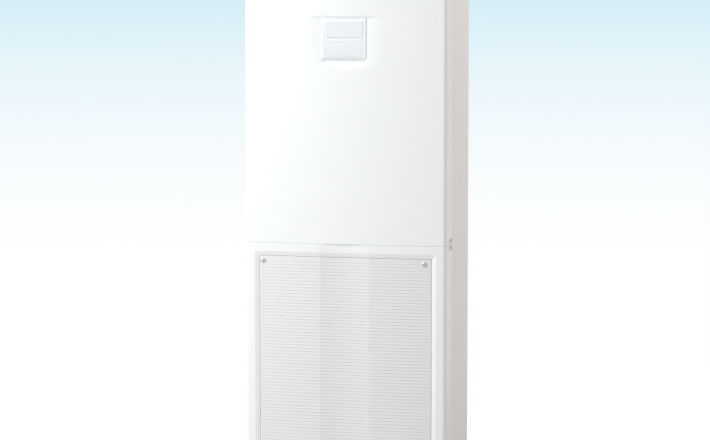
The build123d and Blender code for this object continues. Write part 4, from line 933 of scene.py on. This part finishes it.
# %% Slats and ribs
SLAT_PITCH = 9.4
SLAT_SECTION = (
    (0.4, -4.5),
    (0.15, -4.3),
    (0.2, -3.0),
    (0.7, 4.5),
    (1.3, 4.8),
    (2.2, 4.4),
    (1.8, -2.0),
    (1.4, -4.5),
)
SLAT_TUCK = 0.6
RIB_PITCH = 84.0
RIB_T = 2.0
RIB_SET_BACK = 2.8
RIB_BACK_Y = -152.0
RIB_TUCK = 1.0


def slat(level):
    """A section of (back, up), swept along the grille's line."""
    xs = short_xs if level > SHORT_FROM else slat_xs
    return loft([[(x, grille_y(x) + back, level + up) for back, up in SLAT_SECTION] for x in xs])


def rib(x):
    front = grille_y(x) + RIB_SET_BACK
    return box((x - RIB_T / 2, front, SLOT_FOOT - RIB_TUCK), (x + RIB_T / 2, RIB_BACK_Y, SLOT_HEAD + RIB_TUCK))


slat_count = round((SLOT_HEAD - SLOT_FOOT) / SLAT_PITCH)
slat_step = (SLOT_HEAD - SLOT_FOOT) / slat_count
slat_end = SLOT_HALF + SLAT_TUCK
slat_xs = spread((-slat_end, -84, 15), (-84, -60, 2.4), (-60, 60, 10), (60, 84, 2.4), (84, slat_end, 15))
short_xs = [x for x in slat_xs if SHORT_X[0] < x < SHORT_X[1]]
short_xs = [SHORT_X[0] - SLAT_TUCK] + short_xs + [SHORT_X[1] + SLAT_TUCK]
levels = [SLOT_FOOT + (i + 0.5) * slat_step for i in range(slat_count)]
slats = outward(gathered("grille_slats", [slat(level) for level in levels]))
ribs = gathered("grille_ribs", [rib(i * RIB_PITCH) for i in range(-2, 3)])
grille = join("suction_grille_slatted", grille_frame, slats, ribs)
for point in grille.data.vertices:
    back, up = point.co.y / MM - HINGE_Y, point.co.z / MM - HINGE_Z
    reach = math.hypot(back, up)
    if up < 0 and back > -4 and reach > FOOT_R - FOOT_CLEAR:
        point.co.y = (HINGE_Y + back * (FOOT_R - FOOT_CLEAR) / reach) * MM
        point.co.z = (HINGE_Z + up * (FOOT_R - FOOT_CLEAR) / reach) * MM
wear(grille, finishes["grille_grey"])
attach(grille, "grille")
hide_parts("suction_grille")
print("grille", slat_count, "slats,", len(grille.data.polygons), "faces")

# %% Grille screws
SCREW_R = 7.0
SCREW_PROUD = 2.4
SCREW_SINK = 0.15
SLOT_W = 1.8
SLOT_DEPTH = 1.1
HEAD = (
    (2.0, -14.0),
    (2.0, 0.0),
    (SCREW_R, 0.0),
    (SCREW_R, SCREW_PROUD - 1.1),
    (SCREW_R - 0.4, SCREW_PROUD - 0.4),
    (SCREW_R - 1.2, SCREW_PROUD),
    (0.3, SCREW_PROUD + 0.1),
)


def turned(name, profile, facing, steps):
    """A profile of (radius, forward), turned about the Y axis, facing along it or against it."""
    rings = [[(x, facing * forward, z) for x, z in circle(radius, steps)] for radius, forward in profile]
    return outward(piece_from(name, *loft(rings)))


def cut(piece, low, high):
    """Take a box out of a piece."""
    cutter = piece_from("cutter", *box(low, high))
    slice_it = piece.modifiers.new("cut", "BOOLEAN")
    slice_it.operation = "DIFFERENCE"
    slice_it.solver = "EXACT"
    slice_it.object = cutter
    shapes = bpy.context.evaluated_depsgraph_get()
    carved = bpy.data.meshes.new_from_object(piece.evaluated_get(shapes))
    name = piece.name
    bpy.data.objects.remove(piece)
    bpy.data.objects.remove(cutter)
    return shade(link(name, carved))


def copies(piece, spots):
    """Points and faces of a piece set at each spot, in millimetres, and the piece itself taken away."""
    points = [tuple(v.co / MM) for v in piece.data.vertices]
    faces = [list(p.vertices) for p in piece.data.polygons]
    bpy.data.objects.remove(piece)
    return [([(px + x, py + y, pz + z) for px, py, pz in points], faces) for x, y, z in spots]


slot_face = SLOT_DEPTH - SCREW_PROUD
head = turned("screw", HEAD, -1, 32)
head = cut(head, (-9, -3.5, -SLOT_W / 2), (9, slot_face, SLOT_W / 2))
seats = [(x, front_y(abs(x) - SCREW_R, GRILLE_INSET) - SCREW_SINK, SCREW_Z) for x in SCREW_X]
grille_screws = gathered("grille_screw_heads", copies(head, seats))
wear(grille_screws, finishes["plated_screw"])
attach(grille_screws, "grille")
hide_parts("grille_screws")

# %% [markdown]
# ## Control unit
# The flip cover is the unit's lower half: a thin flap, hinged at its foot, with a lip along its top edge that a
# fingernail can catch and that catches the light. It could be the CAD's plate with a bar on it, but the lip's slope
# is what shows, so its section is drawn from the hinge round to the lip and swept across, with pins at its ends.

# %% Flip cover
UNIT_Y = -175.0
FLAP_HALF = 57.7
FLAP_T = 2.5
FLAP_FOOT = 1350.0
FLAP_TOP = 1405.6
FACE_SET_BACK = 0.9
FLAP_PIN_R = 0.9
FLAP_PIN_LEN = 4.5
LIP_H = 11.0
LIP_HALF = 50.0
LIP_CROWN = (
    (0.0, 0.0),
    (0.7, 0.65),
    (1.4, 0.88),
    (2.2, 0.82),
    (3.2, 0.6),
    (6.6, -0.3),
    (9.4, -1.05),
    (10.2, -1.15),
)
flap_axis = (UNIT_Y + FLAP_T / 2, FLAP_FOOT + FLAP_T / 2)


def flap_section(x):
    """The flap's outline at x, as (y, z): a round foot, a face set back a little, and the scooped lip above it."""
    lip = smooth((LIP_HALF + 1 - abs(x)) / 4)
    face = UNIT_Y + FACE_SET_BACK
    section = [(flap_axis[0] + y, flap_axis[1] + z) for y, z in arc(FLAP_T / 2, 0, -180, 9)]
    section[-1] = (face, flap_axis[1])
    section[-2] = (face + 0.15, section[-2][1])
    section += [(face - proud * lip, FLAP_TOP - LIP_H + up) for up, proud in LIP_CROWN]
    return section + [(face + 0.2 + lip, FLAP_TOP), (UNIT_Y + FLAP_T, FLAP_TOP)]


flap_xs = spread((-FLAP_HALF, -FLAP_HALF + 1, 1), (-LIP_HALF - 3, -LIP_HALF + 3, 1), (-40, 40, 20))
flap_xs = sorted(set(flap_xs) | {-x for x in flap_xs})
pin_from = FLAP_HALF - 0.5
flap_parts = [loft([[(x, y, z) for y, z in flap_section(x)] for x in flap_xs])]
for side in (-1, 1):
    flap_parts.append(rod_x(side * pin_from, side * (pin_from + FLAP_PIN_LEN), *flap_axis, FLAP_PIN_R, 16))
flap = outward(gathered("flip_cover_with_lip", flap_parts))
wear(flap, finishes["unit_white"])
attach(flap, "flip_cover")
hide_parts("controller_cover")

# %% Housing, window and keys
housing = round_edges(cad_copy("controller_housing", "control_unit_housing"), 0.6, segments=3)
wear(housing, finishes["unit_white"])
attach(housing, "cabinet")
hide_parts("controller_housing")

pane = round_edges(cad_copy("controller_window", "control_unit_window"), 0.35)
wear(pane, finishes["window"])
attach(pane, "cabinet")
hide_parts("controller_window")

for key in ("down", "power", "up"):
    cap = round_edges(cad_copy(f"button_{key}", f"key_cap_{key}"), 0.5, segments=3)
    wear(cap, finishes["button_grey"])
    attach(cap, f"key_{key}")
    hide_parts(f"button_{key}")

# %% [markdown]
# ## Air filter
# A pull-out frame with a net in each of its six windows. The CAD net is a thin sheet; here each window gets its
# real threads, one set across and one set up, lying on each other.

# %% Filter net
FILTER_Y = -141.7
CELL_W = 243.5
CELL_H = 199.0
CELL_DX = 255.5
CELL_DZ = 211.0
FILTER_MID_Z = 429.5
THREAD = 0.45
THREAD_PITCH = 2.6
threads = []
for col in (-0.5, 0.5):
    for row in (-1, 0, 1):
        mid_x, mid_z = col * CELL_DX, FILTER_MID_Z + row * CELL_DZ
        x0, x1 = mid_x - CELL_W / 2, mid_x + CELL_W / 2
        z0, z1 = mid_z - CELL_H / 2, mid_z + CELL_H / 2
        for k in range(1, int(CELL_H / THREAD_PITCH)):
            z = z0 + k * THREAD_PITCH
            threads.append(box((x0, FILTER_Y - THREAD, z - THREAD / 2), (x1, FILTER_Y, z + THREAD / 2)))
        for k in range(1, int(CELL_W / THREAD_PITCH)):
            x = x0 + k * THREAD_PITCH
            threads.append(box((x - THREAD / 2, FILTER_Y, z0), (x + THREAD / 2, FILTER_Y + THREAD, z1)))
net = gathered("filter_net_threads", threads)
wear(net, finishes["net"])
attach(net, "filter")
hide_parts("filter_mesh")
print("net", len(threads), "threads")

filter_frame = round_edges(cad_copy("filter_frame", "filter_frame_moulded"), 0.8)
wear(filter_frame, finishes["grille_grey"])
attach(filter_frame, "filter")
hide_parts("filter_frame")

# %% [markdown]
# ## Louvre blades
# A blade is a long thin wing: thicker in the middle, slightly bowed, with round edges. The CAD blade is a flat
# plate with round ends. The wing section is swept along the width, and the pins, the crank arm and the crank pin
# at its right end stay where the CAD has them, because the link bar's slots fit them.

# %% Blades
BLADE_Y = -140.0
BLADE_X = (-255.0, 244.0)
BLADE_HALF = 24.0
BLADE_T = 0.5
BLADE_CROWN = 2.5
BLADE_BOW = 1.6
BLADE_TILT = math.radians(20)
BLADE_COUNT = 5
BLADE_PITCH = (MOUTH_Z[1] - MOUTH_Z[0]) / BLADE_COUNT
WING_STEPS = 16
END_SHRINK = 0.97
PIN_R = 3.0
PIN_END = 261.0
LEAD_PIN_END = 268.0
ARM_R = 14.0
ARM_HALF = 3.5
ARM_T = 2.0
CRANK_R = 1.5
CRANK_END = 252.0


def wing_section():
    """The blade's outline as (along the chord, up), bowed and thicker in the middle."""
    top, foot = [], []
    for k in range(WING_STEPS + 1):
        turn = math.pi * k / WING_STEPS
        u = -BLADE_HALF * math.cos(turn)
        bow = BLADE_BOW * (1 - (u / BLADE_HALF) ** 2) - 0.6
        half = (BLADE_T + BLADE_CROWN * math.sin(turn)) / 2
        top.append((u, bow + half))
        foot.append((u, bow - half))
    return foot + top[::-1]


def blade_parts(z, lead):
    """The wing, its two pins, the crank arm and the crank pin of one blade."""
    lean, rise = math.cos(BLADE_TILT), math.sin(BLADE_TILT)
    outline = [(u * lean - v * rise, u * rise + v * lean) for u, v in wing_section()]
    left, right = BLADE_X
    wing = []
    for x in (left, left + 0.6, -120.0, 0.0, 120.0, right - 0.6, right):
        shrink = END_SHRINK if x in BLADE_X else 1.0
        wing.append([(x, BLADE_Y + dy * shrink, z + dz * shrink) for dy, dz in outline])
    arm = [(BLADE_Y + y, z + up) for y, up in arc(ARM_HALF, 90, 270, 8)]
    arm += [(BLADE_Y + ARM_R + y, z + up) for y, up in arc(ARM_HALF, -90, 90, 8)]
    return [
        loft(wing),
        rod_x(-PIN_END, left + 1, BLADE_Y, z, PIN_R),
        rod_x(right - 1, LEAD_PIN_END if lead else PIN_END, BLADE_Y, z, PIN_R),
        loft([[(x, y, up) for y, up in arm] for x in (right, right + ARM_T)]),
        rod_x(right, CRANK_END, BLADE_Y + ARM_R, z, CRANK_R),
    ]


for i in range(BLADE_COUNT):
    level = MOUTH_Z[0] + (i + 0.5) * BLADE_PITCH
    blade = outward(gathered(f"louvre_wing_{i + 1}", blade_parts(level, i == 2)))
    wear(blade, finishes["louvre_white"])
    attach(blade, f"louvre_{i + 1}")
    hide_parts(f"louvre_blade_{i + 1}")
print("blades", BLADE_COUNT)

# %% [markdown]
# ## Fin pack
# The heat exchanger is a stack of thin aluminium plates on copper tubes. The CAD has one block for them, which is
# right for weight and collision; here every plate is its own, because one sees their edges.

# %% Fins
COIL_X = (-258.0, 222.0)
COIL_MID = (62.05, 1037.0)
COIL_LEN = 620.0
COIL_T = 44.0
COIL_LEAN = math.asin(160.5 / COIL_LEN)
FIN_PITCH = 2.4
FIN_T = 0.25
plate = []
for across, along in ((-1, -1), (1, -1), (1, 1), (-1, 1)):
    u, v = across * COIL_T / 2, along * COIL_LEN / 2
    plate.append(
        (
            COIL_MID[0] + v * math.sin(COIL_LEAN) + u * math.cos(COIL_LEAN),
            COIL_MID[1] + v * math.cos(COIL_LEAN) - u * math.sin(COIL_LEAN),
        )
    )
fin_count = int((COIL_X[1] - COIL_X[0]) / FIN_PITCH) + 1
fin_xs = [min(COIL_X[0] + k * FIN_PITCH, COIL_X[1] - FIN_T) for k in range(fin_count)]
fin_parts = [loft([[(x + dx, y, z) for y, z in plate] for dx in (0, FIN_T)]) for x in fin_xs]
fins = outward(gathered("fin_plates", fin_parts))
wear(fins, finishes["fins"])
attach(fins, "cabinet")
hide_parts("coil_fins")
print("fins", fin_count)

# %% [markdown]
# ## Sheet metal
# Painted panels are folded from 1.2 mm sheet, and a press brake never leaves a knife edge. The CAD shape is right,
# so each panel is a copy of its node with a small round on every hard edge, which catches a thin line of light.

# %% Painted panels
for source, name in (
    ("left_side_panel", "left_side_sheet"),
    ("right_side_panel", "right_side_sheet"),
    ("rear_panel", "rear_sheet"),
    ("top_cover", "top_sheet"),
    ("base_frame", "plinth_sheet"),
    ("wall_bracket", "wall_bracket_sheet"),
):
    sheet = round_edges(cad_copy(source, name), 0.5)
    wear(sheet, finishes["cabinet_paint"])
    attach(sheet, "cabinet")
    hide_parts(source)
    print(name, len(sheet.data.polygons), "faces")

# %% [markdown]
# ## Casing screws
# Ten pan head screws hold the rear panel. Their CAD heads are plain discs. Each real head is domed and has a cross
# recess, so one is turned as a profile, cut with two bars, and then set at each hole.

# %% Cross-recess screws
CASING_X = 288.8
CASING_ZS = [150.0 + k * 407.5 for k in range(5)]
REAR_Y = 173.0
PAN = ((2.0, -9.0), (2.0, 0.0), (4.5, 0.0), (4.5, 0.9), (4.1, 1.5), (3.0, 1.9), (0.4, 2.0))
CROSS = (2.4, 0.5)
pan = turned("pan_head", PAN, 1, 24)
for wide, high in (CROSS, CROSS[::-1]):
    pan = cut(pan, (-wide, 1.0, -high), (wide, 3.0, high))
holes = [(side * CASING_X, REAR_Y, z) for side in (-1, 1) for z in CASING_ZS]
casing = gathered("casing_screws_crossed", copies(pan, holes))
wear(casing, finishes["plated_screw"])
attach(casing, "cabinet")
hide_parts("casing_screws")

# %% [markdown]
# ## Edge trim at the pipe opening
# A cut sheet edge would chafe the pipes' insulation, so a soft U-shaped trim is pressed over it. It is a section
# swept round the opening, a detail too thin to matter for collision, so it is made here only.

# %% Edge trim
PIPE_X = (225.0, 277.0)
PIPE_Z = (105.0, 215.0)
TRIM_SECTION = (
    (-0.2, -2.6),
    (-0.2, 2.0),
    (0.9, 2.4),
    (2.2, 2.0),
    (2.6, 0.6),
    (2.6, -1.4),
    (2.0, -2.8),
    (0.8, -3.2),
)
TRIM_FLATTEN = 0.55
TRIM_Y = REAR_Y - 1.8
TRIM_CORNER = 3.0
corners = [(PIPE_X[1], PIPE_Z[1]), (PIPE_X[0], PIPE_Z[1]), (PIPE_X[0], PIPE_Z[0]), (PIPE_X[1], PIPE_Z[0])]
trim_rings = []
for quarter, (x, z) in enumerate(corners):
    centre_x = x - math.copysign(TRIM_CORNER, x - sum(PIPE_X) / 2)
    centre_z = z - math.copysign(TRIM_CORNER, z - sum(PIPE_Z) / 2)
    for out_x, out_z in arc(1, 90 * quarter, 90 * quarter + 90, 5):
        ring = []
        for inward, back in TRIM_SECTION:
            reach = TRIM_CORNER - inward
            ring.append((centre_x + out_x * reach, TRIM_Y + back * TRIM_FLATTEN, centre_z + out_z * reach))
        trim_rings.append(ring)
trim = outward(piece_from("pipe_opening_trim", *loft(trim_rings, wrap=True)))
wear(trim, finishes["dark_plastic"])
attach(trim, "cabinet")

# %% [markdown]
# ## Finger notches
# Each notch is a shallow cup moulded into the panel's edge, so one sees pale plastic in it and no dark hole. Five
# thin walls make each cup: its floor, its front, its rear, and one below and one above.

# %% Notch cups
CUP_DEPTH = 5.0
CUP_WALL = 1.0
CUP_LAP = 0.3
cup_floor = SIDE_X - CUP_DEPTH
cup_mouth = SIDE_X - WALL + CUP_LAP
front, rear = SEAM_Y - NOTCH_LEN, SEAM_Y - CUP_LAP
cups = []
for side in (-1, 1):
    for foot in (lower_notch, upper_notch):
        top = foot + NOTCH_H
        for x0, x1, y0, y1, z0, z1 in (
            (cup_floor - CUP_WALL, cup_floor, front - CUP_WALL, rear, foot - CUP_WALL, top + CUP_WALL),
            (cup_floor, cup_mouth, front - CUP_WALL, front, foot - CUP_WALL, top + CUP_WALL),
            (cup_floor, cup_mouth, rear - CUP_WALL, rear, foot, top),
            (cup_floor, cup_mouth, front, rear, foot - CUP_WALL, foot),
            (cup_floor, cup_mouth, front, rear, top, top + CUP_WALL),
        ):
            near, far = sorted((side * x0, side * x1))
            cups.append(box((near, y0, z0), (far, y1, z1)))
notch_cups = wear(gathered("notch_cups", cups), finishes["front_white"])
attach(notch_cups, "cabinet")

# %% [markdown]
# ## Setting
# A plain floor that fades out, a background that is a pale blue overhead and white below, and soft lights. The key
# light is near and to the left, so the front darkens a little towards the right and the right side is in its shade.
# The room round the object is a little warmer on the right, as the cabinet's side shows.

# %% Floor
FLOOR_R = 3.2
FLOOR_DROP = 0.0005
floor_mesh = bpy.data.meshes.new("floor")
with editing(floor_mesh) as disc:
    bmesh.ops.create_circle(disc, cap_ends=True, segments=96, radius=FLOOR_R)
floor = link("floor", floor_mesh)
floor.location.z = -FLOOR_DROP
floor_finish, tree, shader = new_finish("floor", 0.9)
shader["Base Color"].default_value = rgba(0.6, 0.6, 0.6)
seen = tree.nodes.new("ShaderNodeLightPath").outputs["Is Camera Ray"]
lift = node(tree, "ShaderNodeEmission", Color=rgba(1, 1, 1), Strength=0.62)
none = node(tree, "ShaderNodeEmission", Strength=0.0)
lifted = node(tree, "ShaderNodeMixShader", in0=seen, in1=none.outputs[0], in2=lift.outputs[0])
painted = tree.nodes["Principled BSDF"].outputs[0]
pale = node(tree, "ShaderNodeAddShader", in0=painted, in1=lifted.outputs[0])
away = node(tree, "ShaderNodeVectorMath", {"operation": "LENGTH"}, in0=place(tree)).outputs["Value"]
fade = remap(tree, away, From_Min=1.0, From_Max=FLOOR_R - 0.1)
clear = tree.nodes.new("ShaderNodeBsdfTransparent")
blend = node(tree, "ShaderNodeMixShader", in0=fade, in1=pale.outputs[0], in2=clear.outputs[0])
feed(tree, tree.nodes["Material Output"].inputs["Surface"], blend.outputs[0])
floor.data.materials.append(floor_finish)

# %% World
BLUE_FROM = -0.1312
BLUE_TO = -0.0215
AMBIENT = 0.5
world = bpy.data.worlds.new("studio")
bpy.context.scene.world = world
world.use_nodes = True
sky = world.node_tree
sky.nodes.clear()
direction = node(sky, "ShaderNodeSeparateXYZ", Vector=sky.nodes.new("ShaderNodeTexCoord").outputs["Generated"])
climb = calc(sky, "POWER", remap(sky, direction.outputs["Z"], From_Min=BLUE_FROM, From_Max=BLUE_TO), 2.0)
tint = mixed(sky, climb, rgba(1.0, 1.0, 1.0), rgba(0.665, 0.855, 0.93))
seen = sky.nodes.new("ShaderNodeLightPath").outputs
shown = calc(sky, "MAXIMUM", seen["Is Camera Ray"], seen["Is Glossy Ray"])
shown = calc(sky, "MAXIMUM", shown, seen["Is Transmission Ray"])
warmer = remap(sky, direction.outputs["X"], From_Min=0.3, From_Max=0.8)
room = mixed(sky, warmer, rgba(0.945, 0.985, 1.01), rgba(0.985, 0.89, 0.815))
backdrop = node(sky, "ShaderNodeBackground", Color=tint, Strength=1.0)
glow = node(sky, "ShaderNodeBackground", Color=room, Strength=AMBIENT)
choice = node(sky, "ShaderNodeMixShader", in0=shown, in1=glow.outputs[0], in2=backdrop.outputs[0])
feed(sky, sky.nodes.new("ShaderNodeOutputWorld").inputs["Surface"], choice.outputs[0])


# %% Lights
def soft_light(name, place_at, aim, size, power, colour=(1, 1, 1)):
    lamp = bpy.data.lights.new(name, "AREA")
    lamp.shape = "RECTANGLE"
    lamp.size, lamp.size_y = size
    lamp.energy = power
    lamp.color = colour
    holder = link(name, lamp)
    holder.location = place_at
    holder.rotation_euler = (Vector(aim) - Vector(place_at)).to_track_quat("-Z", "Y").to_euler()


soft_light("key", (-1.72, -1.97, 1.98), (-0.1, -0.17, -0.15), (2.2, 2.0), 59.5, (1.0, 1.0, 0.99))
soft_light("right_fill", (1.9, 0.2, 3.1), (0.3, 0.05, 1.4), (1.2, 1.2), 17, (1.0, 0.8, 0.69))
soft_light("rear_fill", (0.4, 3.0, 2.6), (0, 0.17, 1.0), (2.0, 1.6), 30)

# %% [markdown]
# ## Camera
# The photograph looks from a little to the right, at about the height of a person's eyes, and tilts down slightly.
# The distance comes from how the cabinet's side narrows, and the lens from the size of the control unit.

# %% Camera
FRAME_W = 710
FOCAL_PX = 2767.0
SENSOR = 36.0
TURN = math.radians(13.47)
DISTANCE = 8.0
EYE = 1.687
MIDDLE_PX = 343.9
PITCH = math.radians(-5.78)
lens = bpy.data.cameras.new("camera")
lens.sensor_width = SENSOR
lens.lens = FOCAL_PX / FRAME_W * SENSOR
camera = link("camera", lens)
camera.location = (DISTANCE * math.sin(TURN), FRONT_Y * MM - DISTANCE * math.cos(TURN), EYE)
heading = TURN + math.atan((MIDDLE_PX - FRAME_W / 2) / FOCAL_PX)
camera.rotation_euler = (math.pi / 2 + PITCH, 0, heading)
bpy.context.scene.camera = camera
bpy.context.scene.view_settings.view_transform = "Standard"
